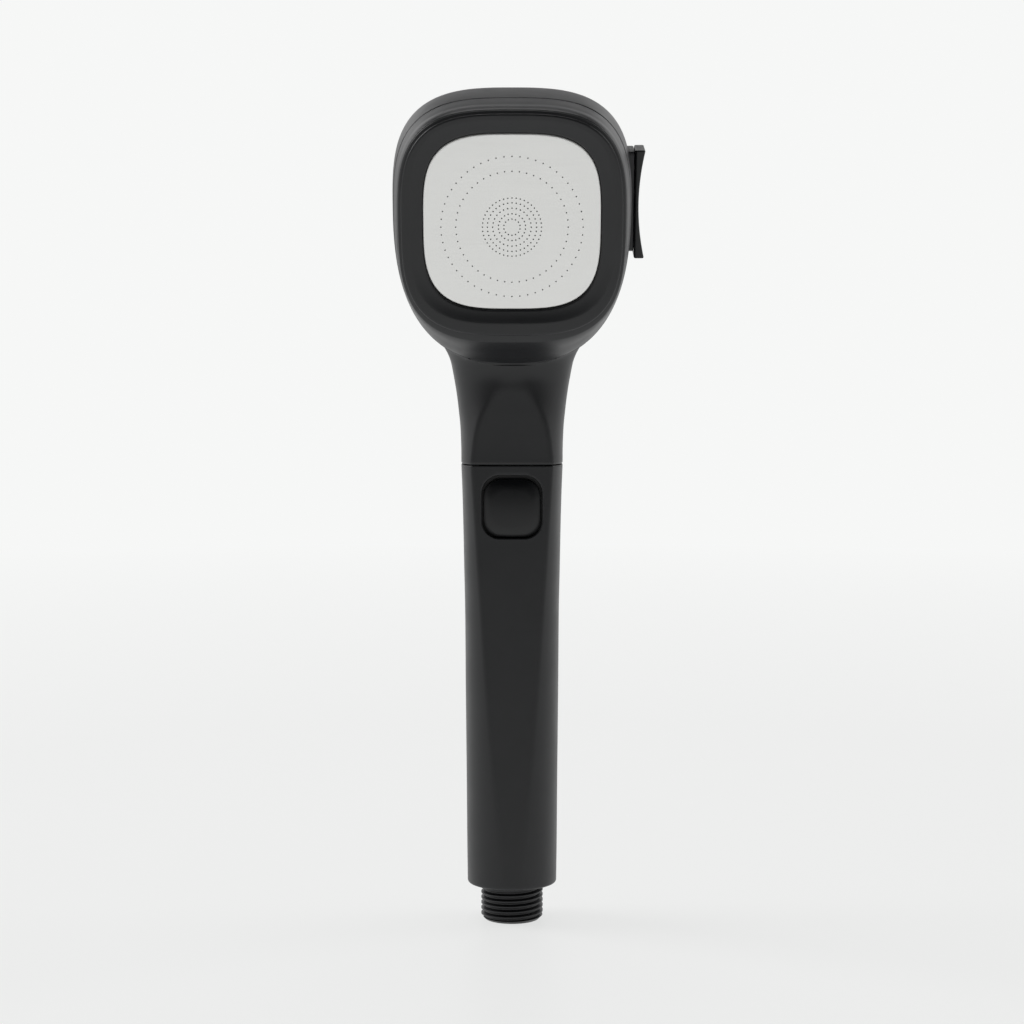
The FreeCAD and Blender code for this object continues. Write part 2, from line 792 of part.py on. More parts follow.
CLAMP_PLACES = [(24.4 * right, 24.4 * up) for right in (-1, 1) for up in (-1, 1)]
CLAMP_SHAFT = 1.1

# (circle radius, number of holes); the pattern is centred a little below the plate's middle
SPRAY_CIRCLES = [(2.6, 14), (4.3, 22), (6.1, 28), (7.8, 36), (9.35, 44), (17.8, 48), (22.5, 56)]
PATTERN_CENTRE_Y = -1.5


def spray_plate():
    """Thin stainless plate with circles of very fine holes."""
    depth, thick = SIZES["plate_depth"], SIZES["plate_thickness"]
    sheet = prism(SIZES["plate_half"], depth, depth + thick)
    holes = []
    for radius, count in SPRAY_CIRCLES:
        for index in range(count):
            angle = 2 * math.pi * index / count
            centre = Vector(
                radius * math.sin(angle),
                PATTERN_CENTRE_Y + radius * math.cos(angle),
                -depth - thick - 0.5,
            )
            holes.append(Part.makeCylinder(SIZES["spray_hole_radius"], thick + 1.0, centre))
    plate = sheet.cut(Part.makeCompound(holes))
    return sub_part(solid_feature(in_head(plate), "Plate"), "spray_plate")


def plate_gasket():
    """Rubber seal between the plate and the manifold: an outer ring and a middle ring."""
    front = SIZES["plate_depth"] + SIZES["plate_thickness"]
    back = SIZES["manifold_front"]
    half, radius = SIZES["manifold_half"], SIZES["chamber_radius"]
    outer = prism(half, front, back).cut(prism(half - 1.8, front - 1, back + 1))
    centre = Vector(0, PATTERN_CENTRE_Y, -back)
    middle = Part.makeCylinder(radius + 1.4, back - front, centre)
    middle = middle.cut(Part.makeCylinder(radius, back - front, centre))
    return sub_part(solid_feature(in_head(Part.makeCompound([outer, middle])), "Gasket"), "plate_gasket")


def port_places():
    """The two water ports between diverter and manifold, in the head's frame."""
    return [
        (SIZES["centre_port_x"], SIZES["centre_port_y"]),
        (SIZES["spool_x"], SIZES["outer_port_y"]),
    ]


DIVERTER_SCREW_PLACES = [(-10.5, -22.0), (20.5, -21.5), (-10.5, -5.5), (22.0, -5.5)]


def spray_manifold():
    """Moulding behind the plate: a round chamber for the centre jets and one around it for the rings."""
    front, back = SIZES["manifold_front"], SIZES["manifold_back"]
    half, radius = SIZES["manifold_half"], SIZES["chamber_radius"]
    floor = back - 2.0
    body = prism(half, front, back).fuse(prism(SIZES["dish_half"], 4.8, 6.8))
    outer_chamber = prism(half - 1.8, front - 1, floor)
    centre = Vector(0, PATTERN_CENTRE_Y, -floor)
    outer_chamber = outer_chamber.cut(Part.makeCylinder(radius + 1.4, floor, centre))
    body = body.cut(outer_chamber).cut(Part.makeCylinder(radius, floor, centre))
    for x, y in port_places():
        body = body.cut(Part.makeCylinder(SIZES["port_radius"], 20, Vector(x, y, -20)))
    for x, y in CLAMP_PLACES:
        body = body.cut(Part.makeCylinder(1.3, 20, Vector(x, y, -20)))
    for x, y in DIVERTER_SCREW_PLACES:
        body = body.cut(Part.makeCylinder(1.1, 1.6, Vector(x, y, -back)))
    return sub_part(solid_feature(in_head(body.removeSplitter()), "Manifold"), "spray_manifold")


def screw(x, y, head_depth, tip_depth, shaft_radius, head_radius):
    """A pan-head screw driven towards the spray side, in the head's frame."""
    shaft = Part.makeCylinder(shaft_radius, head_depth - tip_depth, Vector(x, y, -head_depth))
    head = Part.makeCylinder(head_radius, 1.5, Vector(x, y, -head_depth - 1.5))
    recess = Part.makeBox(2.2, 0.6, 0.8, Vector(x - 1.1, y - 0.3, -head_depth - 1.6))
    cross = Part.makeBox(0.6, 2.2, 0.8, Vector(x - 0.3, y - 1.1, -head_depth - 1.6))
    return head.fuse(shaft).cut(recess).cut(cross)


def manifold_screws():
    screws = [screw(x, y, 6.8, 2.0, CLAMP_SHAFT, 2.0) for x, y in CLAMP_PLACES]
    return sub_part(solid_feature(in_head(Part.makeCompound(screws)), "Screws"), "manifold_screws")


def diverter_screws():
    flange_back = SIZES["diverter_front"] + 2.0
    tip = SIZES["manifold_back"] - 1.5
    screws = [screw(x, y, flange_back, tip, 1.1, 2.0) for x, y in DIVERTER_SCREW_PLACES]
    return sub_part(solid_feature(in_head(Part.makeCompound(screws)), "Screws"), "diverter_screws")


def diverter_gasket():
    back, front = SIZES["diverter_front"], SIZES["manifold_back"]
    low, high = SIZES["diverter_bottom"] + 1.0, SIZES["diverter_top"] - 1.0
    pad = Part.makeBox(24.0, high - low, back - front, Vector(-7.0, low, -back))
    for x, y in port_places():
        pad = pad.cut(Part.makeCylinder(SIZES["port_radius"], 20, Vector(x, y, -20)))
    return sub_part(solid_feature(in_head(pad), "Pad"), "diverter_gasket")


def diverter_body():
    """Valve chest: the pipe's socket, the spool's blind bore, and channels to the two front ports."""
    low, high = SIZES["diverter_bottom"], SIZES["diverter_top"]
    front, back = SIZES["diverter_front"], SIZES["diverter_back"]
    spool_x, spool_depth = SIZES["spool_x"], SIZES["spool_depth"]
    pipe_depth, port = SIZES["pipe_depth"], SIZES["port_radius"]
    across, up, out = Vector(1, 0, 0), Vector(0, 1, 0), Vector(0, 0, 1)
    chest = block(28.5, high - low, back - front, (-8.5, low, -back), HEAD)
    flange = block(39.0, high - low, 2.0, (-13.5, low, -front - 2.0), HEAD)
    channels = [
        cylinder(S["pipe_radius"] + 0.05, 7.2, (0, low - 0.1, -pipe_depth), HEAD, up),
        cylinder(S["pipe_bore_radius"], 14.5, (0, low, -pipe_depth), HEAD, up),
        cylinder(S["spool_radius"] + 0.05, high + 24.0, (spool_x, -23.0, -spool_depth), HEAD, up),
        cylinder(2.5, spool_x, (0, SIZES["supply_port_y"], -spool_depth + 2.0), HEAD, across),
        cylinder(
            port,
            spool_x - SIZES["centre_port_x"],
            (SIZES["centre_port_x"], SIZES["centre_port_y"], -spool_depth),
            HEAD,
            across,
        ),
        cylinder(
            port,
            spool_depth,
            (SIZES["centre_port_x"], SIZES["centre_port_y"], -spool_depth),
            HEAD,
            out,
        ),
        cylinder(port, spool_depth, (spool_x, SIZES["outer_port_y"], -spool_depth), HEAD, out),
    ]
    for x, y in DIVERTER_SCREW_PLACES:
        channels.append(cylinder(1.2, 6.0, (x, y, -front - 4.0), HEAD, out))
        channels.append(cylinder(2.2, 4.0, (x, y, -front - 6.0), HEAD, out))
    return sub_part(cut(fused([chest, flange]), channels), "diverter_body")


def diverter_spool():
    """Sliding spool with a waist that opens one port or the other and a groove for the slider's arm."""
    radius = S["spool_radius"]
    core = radius - 1.25
    turned(
        "diverter_spool",
        [
            (0, -21.2),
            (radius, -21.2),
            (radius, -20.9),
            (core, -20.9),
            (core, -19.5),
            (radius, -19.5),
            (radius, -17.5),
            (2.4, -17.5),
            (2.4, -8.5),
            (radius, -8.5),
            (radius, -6.1),
            (core, -6.1),
            (core, -4.7),
            (radius, -4.7),
            (radius, -1.6),
            (1.9, -1.6),
            (1.9, 1.6),
            (radius, 1.6),
            (radius, 3.4),
            (0, 3.4),
        ],
        HEAD,
        (S["spool_x"], 0, -S["spool_depth"]),
        Vector(0, 1, 0),
    )
    rings = []
    for along in (-20.2, -5.4):
        place = HEAD.multVec(Vector(SIZES["spool_x"], along, -SIZES["spool_depth"]))
        direction = HEAD.Rotation.multVec(Vector(0, 1, 0))
        rings.append(Part.makeTorus(SIZES["spool_radius"] - 0.62, 0.63, place, direction))
    return sub_part(solid_feature(Part.makeCompound(rings), "Rings"), "spool_orings")


def slider_track():
    """Boss let into the head's side, with the slot that the slider's web runs in."""
    depth, width = SIZES["slider_depth"], SIZES["track_width"]
    inner, outer = SIZES["track_inner_x"], SIZES["track_outer_x"]
    low, high = SIZES["track_bottom"], SIZES["track_top"]
    pad = Part.makeBox(outer - inner, high - low, width, Vector(inner, low, -depth - width / 2))
    reach = SIZES["web_half"] + SIZES["slider_travel"] + 0.4
    opening = SIZES["web_thickness"] + 0.4
    slot = Part.makeBox(outer, 2 * reach, opening, Vector(inner - 1, -reach, -depth - opening / 2))
    return sub_part(solid_feature(in_head(pad.cut(slot)), "Track"), "slider_track")


def selector_slider():
    """Saddle-shaped thumb slider, its web, the foot that keeps it in and the arm that moves the spool."""
    depth, width = SIZES["slider_depth"], SIZES["slider_width"]
    half, inner = SIZES["slider_length"] / 2, SIZES["slider_inner_x"]
    tip, waist = SIZES["slider_tip_x"], SIZES["slider_waist_x"]
    z = -depth - width / 2
    outline = Part.Wire(
        [
            Part.Arc(Vector(tip, -half, z), Vector(waist, 0, z), Vector(tip, half, z)).toShape(),
            Part.LineSegment(Vector(tip, half, z), Vector(inner, half, z)).toShape(),
            Part.LineSegment(Vector(inner, half, z), Vector(inner, -half, z)).toShape(),
            Part.LineSegment(Vector(inner, -half, z), Vector(tip, -half, z)).toShape(),
        ]
    )
    saddle = Part.Face(outline).extrude(Vector(0, 0, width))
    foot_inner, joined = SIZES["foot_inner_x"], 0.3

    def bar(start, end, half_length, thick):
        corner = Vector(start, -half_length, -depth - thick / 2)
        return Part.makeBox(end - start, 2 * half_length, thick, corner)

    web = bar(foot_inner, inner + joined, SIZES["web_half"], SIZES["web_thickness"])
    foot = bar(foot_inner, SIZES["track_inner_x"] - 0.3, SIZES["foot_half"], SIZES["foot_thickness"])
    arm_end = SIZES["spool_x"] + 2.1
    arm = bar(arm_end, foot_inner + joined, SIZES["arm_half"], SIZES["arm_thickness"])
    slider = saddle.fuse([web, foot, arm]).removeSplitter()
    return sub_part(solid_feature(in_head(slider), "Slider"), "selector_slider")


# ---------------------------------------------------------------- build, check and write

for make in (
    handle_shell,
    inlet_nipple,
    inlet_screen,
    flow_regulator,
    nipple_oring,
    water_tube,
    filter_pieces,
    valve_body,
    stop_valve,
    stop_button,
    neck_sleeve,
    waterway_pipe,
    rear_shell,
    front_band,
    front_cover,
    spray_plate,
    plate_gasket,
    spray_manifold,
    manifold_screws,
    diverter_gasket,
    diverter_body,
    diverter_screws,
    diverter_spool,
    slider_track,
    selector_slider,
):
    make()

doc.recompute()

for thing in doc.Objects:
    broken = [state for state in thing.State if state in ("Invalid", "Error")]
    if broken:
        raise RuntimeError(f"{thing.Label} ({thing.Name}) is {broken}")
for thing in sub_parts:
    if thing.Shape.isNull() or not thing.Shape.isValid() or thing.Shape.Volume <= 0:
        raise RuntimeError(f"{thing.Label} has no valid shape")

os.makedirs("parts", exist_ok=True)
for thing in sub_parts:
    thing.Shape.exportStep(f"parts/{thing.Label}.step")
    print(f"{thing.Label:18s} {thing.Shape.Volume:10.1f} mm3, {len(thing.Shape.Solids)} solid(s)")
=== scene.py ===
import json
import math

import bmesh
import bpy
import numpy as np
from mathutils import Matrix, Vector
from mathutils.geometry import delaunay_2d_cdt


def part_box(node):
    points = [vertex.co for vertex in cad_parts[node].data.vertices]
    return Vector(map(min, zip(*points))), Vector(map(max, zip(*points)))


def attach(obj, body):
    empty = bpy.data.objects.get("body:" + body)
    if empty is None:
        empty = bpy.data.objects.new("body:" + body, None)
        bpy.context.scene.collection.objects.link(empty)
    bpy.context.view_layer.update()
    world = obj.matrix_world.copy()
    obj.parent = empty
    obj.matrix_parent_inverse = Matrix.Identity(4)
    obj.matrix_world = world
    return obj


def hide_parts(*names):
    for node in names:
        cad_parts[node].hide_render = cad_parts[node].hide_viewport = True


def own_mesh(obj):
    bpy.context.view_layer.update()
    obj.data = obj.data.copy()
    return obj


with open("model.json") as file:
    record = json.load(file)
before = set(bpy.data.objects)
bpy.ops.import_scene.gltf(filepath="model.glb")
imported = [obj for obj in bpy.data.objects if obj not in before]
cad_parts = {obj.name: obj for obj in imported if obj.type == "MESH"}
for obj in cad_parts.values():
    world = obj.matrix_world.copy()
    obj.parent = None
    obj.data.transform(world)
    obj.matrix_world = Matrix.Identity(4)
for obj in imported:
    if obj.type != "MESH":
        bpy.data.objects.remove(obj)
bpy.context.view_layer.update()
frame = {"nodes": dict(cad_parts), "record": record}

# A satin black handheld shower head. Shapes are worked out in millimetres and scaled on the way
# into each mesh. In the head's own frame x is across, y is up the face and z comes out of it,
# and a depth is a distance behind the head's front edge.

MM = 0.001
TILT = math.radians(14.0)
HEAD_CENTRE = np.array((0.0, -43.0, 233.5))
HEAD_ACROSS = np.array((1.0, 0.0, 0.0))
HEAD_UP = np.array((0.0, -math.sin(TILT), math.cos(TILT)))
HEAD_OUT = np.array((0.0, -math.cos(TILT), -math.sin(TILT)))

SEAM_DEPTH, SEAM_GAP = 16.45, 0.12
NECK_SEAM = 155.2
WALL = 2.0


# ---------------------------------------------------------------- mesh tools

def to_world(points):
    """Points of the head's frame in the row frame."""
    points = np.asarray(points, float)
    across, up, out = points[..., :1], points[..., 1:2], points[..., 2:3]
    return across * HEAD_ACROSS + up * HEAD_UP + out * HEAD_OUT + HEAD_CENTRE


def to_head(points):
    """The row frame's points in the head's frame."""
    away = points - HEAD_CENTRE
    return np.stack((away[..., 0], away @ HEAD_UP, away @ HEAD_OUT), -1)


def new_piece(name, points, faces):
    """A smoothly shaded object from points in millimetres."""
    mesh = bpy.data.meshes.new(name)
    mesh.from_pydata((np.asarray(points) * MM).tolist(), [], [tuple(face) for face in faces])
    mesh.update()
    mesh.shade_smooth()
    piece = bpy.data.objects.new(name, mesh)
    bpy.context.scene.collection.objects.link(piece)
    return piece


def ring_faces(rows, columns, wrap=False):
    """Quads between rows of points, each row a closed ring; wrap joins the last row to the first."""
    faces = []
    for row in range(rows if wrap else rows - 1):
        below, above = row * columns, (row + 1) % rows * columns
        for column in range(columns):
            after = (column + 1) % columns
            faces.append((below + column, below + after, above + after, above + column))
    return faces


def outward(piece):
    """Turns every face of a closed skin to look outwards."""
    work = bmesh.new()
    work.from_mesh(piece.data)
    bmesh.ops.recalc_face_normals(work, faces=work.faces[:])
    work.to_mesh(piece.data)
    work.free()
    return piece


def ring_loft(name, rows, wrap=False, cap_first=False, cap_last=False):
    """A skin over rings of points; caps are fans onto the ring's middle."""
    rows = np.asarray(rows)
    count, columns = rows.shape[:2]
    points = rows.reshape(-1, 3)
    faces = ring_faces(count, columns, wrap=wrap)
    for wanted, row, backwards in ((cap_first, 0, True), (cap_last, count - 1, False)):
        if wanted:
            points = np.vstack((points, rows[row].mean(0)))
            centre = len(points) - 1
            for column in range(columns):
                here, after = row * columns + column, row * columns + (column + 1) % columns
                faces.append((after, here, centre) if backwards else (here, after, centre))
    return outward(new_piece(name, points, faces))


def apply_modifiers(piece):
    """Turns the piece's modifiers into its mesh."""
    graph = bpy.context.evaluated_depsgraph_get()
    graph.update()
    mesh = bpy.data.meshes.new_from_object(piece.evaluated_get(graph))
    piece.modifiers.clear()
    piece.data = mesh
    return piece


def cut_away(piece, cutter):
    """Takes the cutter's space out of the piece; the cutter is used up."""
    trim = piece.modifiers.new("cut", "BOOLEAN")
    trim.operation = "DIFFERENCE"
    trim.solver = "EXACT"
    trim.object = cutter
    apply_modifiers(piece)
    bpy.data.objects.remove(cutter)
    return piece


def crisp(piece, angle):
    """Smooth shading with real edges kept, and flat faces shading flat."""
    piece.data.shade_smooth()
    piece.data.set_sharp_from_angle(angle=math.radians(angle))
    weigh = piece.modifiers.new("weigh", "WEIGHTED_NORMAL")
    weigh.keep_sharp = True
    weigh.weight = 80
    return apply_modifiers(piece)


def joined(name, pieces):
    """Several closed shells as one piece."""
    points, faces = [], []
    for piece in pieces:
        start = len(points)
        points += [tuple(vertex.co / MM) for vertex in piece.data.vertices]
        faces += [tuple(start + index for index in face.vertices) for face in piece.data.polygons]
        bpy.data.objects.remove(piece)
    return outward(new_piece(name, points, faces))


def between(at, places, values):
    """A smooth curve through given values: cubic, with the slopes of its neighbours."""
    places, values = np.asarray(places, float), np.asarray(values, float)
    at = np.clip(np.asarray(at, float), places[0], places[-1])
    secants = np.diff(values) / np.diff(places)
    slopes = np.concatenate((secants[:1], (secants[1:] + secants[:-1]) / 2, secants[-1:]))
    slopes[1:-1][secants[1:] * secants[:-1] <= 0] = 0
    index = np.clip(np.searchsorted(places, at, side="right") - 1, 0, len(places) - 2)
    span = places[index + 1] - places[index]
    t = (at - places[index]) / span
    return (
        (2 * t**3 - 3 * t**2 + 1) * values[index]
        + (t**3 - 2 * t**2 + t) * span * slopes[index]
        + (3 * t**2 - 2 * t**3) * values[index + 1]
        + (t**3 - t**2) * span * slopes[index + 1]
    )


def soft_min(a, b, blend):
    """The smaller of two values, rounded off where they are nearly equal."""
    overlap = np.maximum(blend - np.abs(a - b), 0) / blend
    return np.minimum(a, b) - overlap * overlap * blend / 4


def signed_power(value, power):
    return np.sign(value) * np.abs(value) ** power


def round_edge(radius, steps=4):
    """(how far in from the side, how far back from the face) around a quarter circle, face first."""
    angles = np.linspace(0, math.pi / 2, steps + 1)
    return [(radius * (1 - math.sin(angle)), radius * (1 - math.cos(angle))) for angle in angles]


# ---------------------------------------------------------------- the grip: handle and neck

# height, half width, reach back, reach forward if it weren't flattened, flat front, front power
GRIP = np.array(
    [
        (12.6, 15.05, 15.05, 15.05, 15.20, 2.00),
        (24.5, 15.20, 15.20, 15.30, 15.00, 2.03),
        (52.0, 15.40, 15.40, 15.90, 14.70, 2.10),
        (79.0, 15.65, 15.65, 16.50, 14.40, 2.20),
        (106.5, 15.83, 15.83, 17.05, 14.08, 2.35),
        (120.0, 16.10, 16.10, 17.35, 13.92, 2.43),
        (133.6, 16.35, 16.35, 17.65, 13.75, 2.50),
        (147.0, 16.70, 16.70, 17.95, 13.58, 2.57),
        (155.2, 17.00, 17.00, 18.10, 13.50, 2.60),
        (160.0, 17.03, 17.10, 18.30, 13.55, 2.42),
        (164.0, 17.15, 17.15, 18.20, 13.65, 2.27),
        (168.0, 17.35, 17.20, 17.45, 13.78, 2.20),
        (172.0, 17.75, 17.30, 16.40, 13.95, 2.14),
        (176.0, 18.20, 17.45, 15.45, 14.12, 2.10),
        (180.0, 18.75, 17.50, 14.85, 14.32, 2.08),
        (183.8, 19.40, 17.55, 14.55, 14.52, 2.10),
        (188.0, 20.20, 17.55, 15.10, 16.00, 2.20),
        (192.0, 21.10, 17.40, 16.40, 19.00, 2.45),
        (196.0, 21.90, 17.10, 17.80, 22.00, 2.40),
        (208.0, 23.20, 15.30, 22.00, 30.00, 2.30),
        (222.0, 22.00, 11.50, 24.00, 34.00, 2.30),
        (234.0, 17.00, 6.50, 24.00, 34.00, 2.30),
        (246.0, 8.00, 0.50, 24.00, 34.00, 2.30),
    ]
)
CREASE = 0.4


def grip_radius(angle, height):
    """How far the grip's surface is from its axis in a direction: round behind, flattened in front."""
    half, back, front, flat, power = (
        between(height, GRIP[:, 0], GRIP[:, column]) for column in range(1, 6)
    )
    cosine, sine = np.abs(np.cos(angle)), np.sin(angle)
    forward = sine < 0
    depth = np.where(forward, front, back)
    power = np.where(forward, power, 2.0)
    sine = np.abs(sine)
    radius = ((cosine / half) ** power + (sine / depth) ** power) ** (-1 / power)
    plane = flat / np.maximum(sine, 1e-3)
    return np.where(forward, soft_min(radius, plane, CREASE), radius)


def level_ring(radius, height, angles):
    """Points around the handle's axis at one height; the radius may differ by angle."""
    return np.stack((radius * np.cos(angles), radius * np.sin(angles), np.full_like(angles, height)), -1)


def grip_ring(height, angles, inset=0.0):
    return level_ring(grip_radius(angles, np.full_like(angles, height)) - inset, height, angles)


def rounded_rectangle(width, height, corner):
    """An outline of four straight sides and four arcs, with points spread evenly along it."""
    count, arc_steps = 96, 24
    straight_x, straight_y = width / 2 - corner, height / 2 - corner
    points = []
    for quarter, (side_x, side_y) in enumerate(((1, 1), (-1, 1), (-1, -1), (1, -1))):
        for step in range(arc_steps + 1):
            angle = math.pi / 2 * (quarter + step / arc_steps)
            x = side_x * straight_x + corner * math.cos(angle)
            y = side_y * straight_y + corner * math.sin(angle)
            points.append((x, y))
    points.append(points[0])
    points = np.array(points)
    lengths = np.concatenate(([0], np.cumsum(np.linalg.norm(np.diff(points, axis=0), axis=1))))
    wanted = np.linspace(0, lengths[-1], count, endpoint=False)
    return np.stack([np.interp(wanted, lengths, points[:, axis]) for axis in (0, 1)], -1)


HANDLE_FOOT, HANDLE_TOP = 12.6, 155.1
MOUTH_RADIUS = 10.5
WINDOW_WIDTH, WINDOW_HEIGHT, WINDOW_CORNER, WINDOW_MIDDLE = 20.0, 20.9, 6.0, 141.5


def front_slope():
    """How the flat front leans around the button, from the grip's outlines below and above it."""
    below, above = GRIP[4], GRIP[8]
    return (below[4] - above[4]) / (above[0] - below[0])


def make_handle():
    """The handle from its open foot to the neck's seam, with the button's window in its front."""
    angles = np.linspace(0, 2 * math.pi, 224, endpoint=False)
    foot_edge, mouth_edge, top_edge, window_edge = 0.9, 0.2, 0.3, 0.45
    cutter_ahead, cutter_behind = 4.0, 8.0
    rings = [
        level_ring(MOUTH_RADIUS, HANDLE_FOOT + WALL, angles),
        level_ring(MOUTH_RADIUS, HANDLE_FOOT + mouth_edge, angles),
        level_ring(MOUTH_RADIUS + mouth_edge, HANDLE_FOOT, angles),
    ]
    rings += [grip_ring(HANDLE_FOOT + rise, angles, inset) for inset, rise in round_edge(foot_edge, 6)]
    heights = np.linspace(HANDLE_FOOT + 2 * foot_edge, HANDLE_TOP - 2 * top_edge, 110)
    rings += [grip_ring(height, angles) for height in heights]
    rings += [grip_ring(HANDLE_TOP - drop, angles, inset) for inset, drop in round_edge(top_edge)[::-1]]
    rings.append(grip_ring(HANDLE_TOP, angles, WALL))
    heights = np.linspace(HANDLE_TOP - 1, HANDLE_FOOT + WALL, 40)
    rings += [grip_ring(height, angles, WALL) for height in heights]
    handle = ring_loft("handle_skin", rings, wrap=True)

    front = grip_radius(np.array([-math.pi / 2]), np.array([WINDOW_MIDDLE]))[0]
    rows = []
    for grow, back in [(window_edge, -cutter_ahead), *round_edge(window_edge, 5), (0.0, cutter_behind)]:
        outline = rounded_rectangle(WINDOW_WIDTH + 2 * grow, WINDOW_HEIGHT + 2 * grow, WINDOW_CORNER + grow)
        across, rise = outline[:, 0], outline[:, 1]
        rows.append(np.stack((across, back - front + rise * front_slope(), WINDOW_MIDDLE + rise), -1))
    cutter = ring_loft("window_cutter", rows, cap_first=True, cap_last=True)
    return crisp(cut_away(handle, cutter), 40)


# ---------------------------------------------------------------- the stop button

BUTTON_WIDTH, BUTTON_HEIGHT, BUTTON_CORNER = 18.9, 19.1, 5.6
BUTTON_MIDDLE, BUTTON_FACE, BUTTON_CROWN, BUTTON_TRAVEL = 141.0, 14.6, 60.0, 2.4


def make_button():
    """A pillow with a crowned face and rolled edges, on a flange that hides what lies behind it."""
    edge, roll, roll_depth, skin = 0.3, 3.4, 0.85, 1.6
    pocket_floor, flange_front, flange_back = 12.6, 9.8, 8.8
    flange_width, flange_height, middle = 2.2, 0.4, 0.4

    def loop(grow, forward, grow_up=0.0):
        width, height = BUTTON_WIDTH + grow, BUTTON_HEIGHT + grow + grow_up
        outline = rounded_rectangle(width, height, max(BUTTON_CORNER + grow / 2, 0.3 * width))
        depth = np.full(len(outline), forward)
        return np.stack((outline[:, 0], -depth, BUTTON_MIDDLE + outline[:, 1]), -1)

    def face_loop(inset, back):
        ring = loop(-2 * inset, 0.0)
        crown = (ring[:, 0] ** 2 + (ring[:, 2] - BUTTON_MIDDLE) ** 2) / (2 * BUTTON_CROWN)
        ring[:, 1] = -(BUTTON_FACE - crown - back)
        return ring

    rows = [loop(-2 * skin, pocket_floor), loop(-2 * skin, flange_back)]
    rows += [loop(flange_width, depth, flange_height) for depth in (flange_back, flange_front)]
    rows.append(loop(0.0, flange_front))
    rows += [face_loop(inset, roll_depth + back) for inset, back in round_edge(edge, 4)[::-1]]
    for share in np.linspace(0, 1, 14)[1:]:
        rows.append(face_loop(edge + roll * share, roll_depth * (1 - share) ** 2.3))
    flat_insets = np.linspace(edge + roll + 0.4, BUTTON_WIDTH / 2 - middle, 12)
    rows += [face_loop(inset, 0.0) for inset in flat_insets]
    return crisp(ring_loft("stop_button_skin", rows, cap_first=True, cap_last=True), 50)


def make_boot():
    """The folded rubber boot that returns the button, turned around the button's axis."""
    front, back = (corner[1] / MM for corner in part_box("button_boot"))
    folds, ridge, swell, wall, clearance = 3, 5.1, 0.5, 0.4, 0.05
    angles = np.linspace(0, 2 * math.pi, 64, endpoint=False)
    outside = []
    for step, along in enumerate(np.linspace(front + clearance, back, 2 * folds + 1)):
        outside.append((ridge if step % 2 else ridge - swell, along))
    inside = [(radius - wall, along) for radius, along in reversed(outside)]
    rows = []
    for radius, along in outside + inside:
        ring = np.stack((radius * np.cos(angles), np.full(angles.shape, along), radius * np.sin(angles)), -1)
        rows.append(ring + (0, 0, BUTTON_MIDDLE))
    return crisp(ring_loft("button_boot_skin", rows, wrap=True), 50)


# ---------------------------------------------------------------- the head's outlines

def squircle(angles, half, up, down, power_up, power_down):
    """A rounded square with its own reach upwards and downwards; its numbers may differ by angle."""
    cosine, sine = np.cos(angles), np.sin(angles)
    upper = sine >= 0
    power = np.where(upper, power_up, power_down)
    reach = np.where(upper, up, down)
    return half * signed_power(cosine, 2 / power), reach * signed_power(sine, 2 / power)


RING_COUNT = 288
PLATE_POWER = 3.35
PLATE_HALF, PLATE_DEPTH, PLATE_THICKNESS = 28.3, 1.8, 0.6


def even_angles():
    """Angles of a ring's points, which spread them evenly along a rounded square."""
    dense = np.linspace(0, 2 * math.pi, 4001)
    x, y = squircle(dense, 1.0, 1.0, 1.0, PLATE_POWER, PLATE_POWER)
    lengths = np.concatenate(([0], np.cumsum(np.hypot(np.diff(x), np.diff(y)))))
    return np.interp(np.linspace(0, lengths[-1], RING_COUNT, endpoint=False), lengths, dense)


# depth behind the front edge, half width, reach up, reach down, power up, power down
HEAD_OUTLINES = np.array(
    [
        (0.0, 35.2, 34.6, 36.6, 3.20, 3.20),
        (1.2, 36.0, 35.5, 38.4, 3.20, 3.10),
        (8.5, 37.3, 36.5, 44.6, 3.15, 2.75),
        (16.45, 38.2, 37.1, 50.25, 3.10, 2.50),
        (26.0, 38.9, 37.6, 50.55, 3.10, 2.50),
        (35.0, 39.1, 37.75, 49.50, 3.10, 2.50),
        (51.0, 39.1, 37.75, 46.00, 3.10, 2.50),
    ]
)


def head_ring(angles, depth, inset=0.0):
    """The head's outline at a depth, which may differ from angle to angle."""
    depth = np.broadcast_to(np.asarray(depth, float), angles.shape)
    half, up, down, power_up, power_down = (
        between(depth, HEAD_OUTLINES[:, 0], HEAD_OUTLINES[:, column]) for column in range(1, 6)
    )
    x, y = squircle(angles, half - inset, up - inset, down - inset, power_up, power_down)
    return np.stack((x, y, -depth), -1)


def plate_ring(angles, half, depth):
    """An outline of the spray plate's shape at a depth."""
    x, y = squircle(angles, half, half, half, PLATE_POWER, PLATE_POWER)
    return np.stack((x, y, np.full_like(x, -depth)), -1)


# height on the face, and how far back the front cover's skin reaches there
COVER_EDGE = np.array(
    [
        (-60.0, 15.2), (-42.0, 15.2), (-36.0, 14.1), (-30.0, 11.9), (-24.0, 9.0), (-18.0, 5.8),
        (-12.0, 3.1), (-6.0, 1.6), (0.0, 1.3), (60.0, 1.3),
    ]
)


def cover_reach(angles):
    """How far back the cover reaches in each direction: a thin lip above, the whole chin below.

    The height that the table asks for depends on the reach itself, so it is found by repetition."""
    reach = np.full_like(angles, COVER_EDGE[-1, 1])
    for _ in range(30):
        height = head_ring(angles, reach)[:, 1]
        reach = 0.5 * reach + 0.5 * between(height, COVER_EDGE[:, 0], COVER_EDGE[:, 1])
    return reach


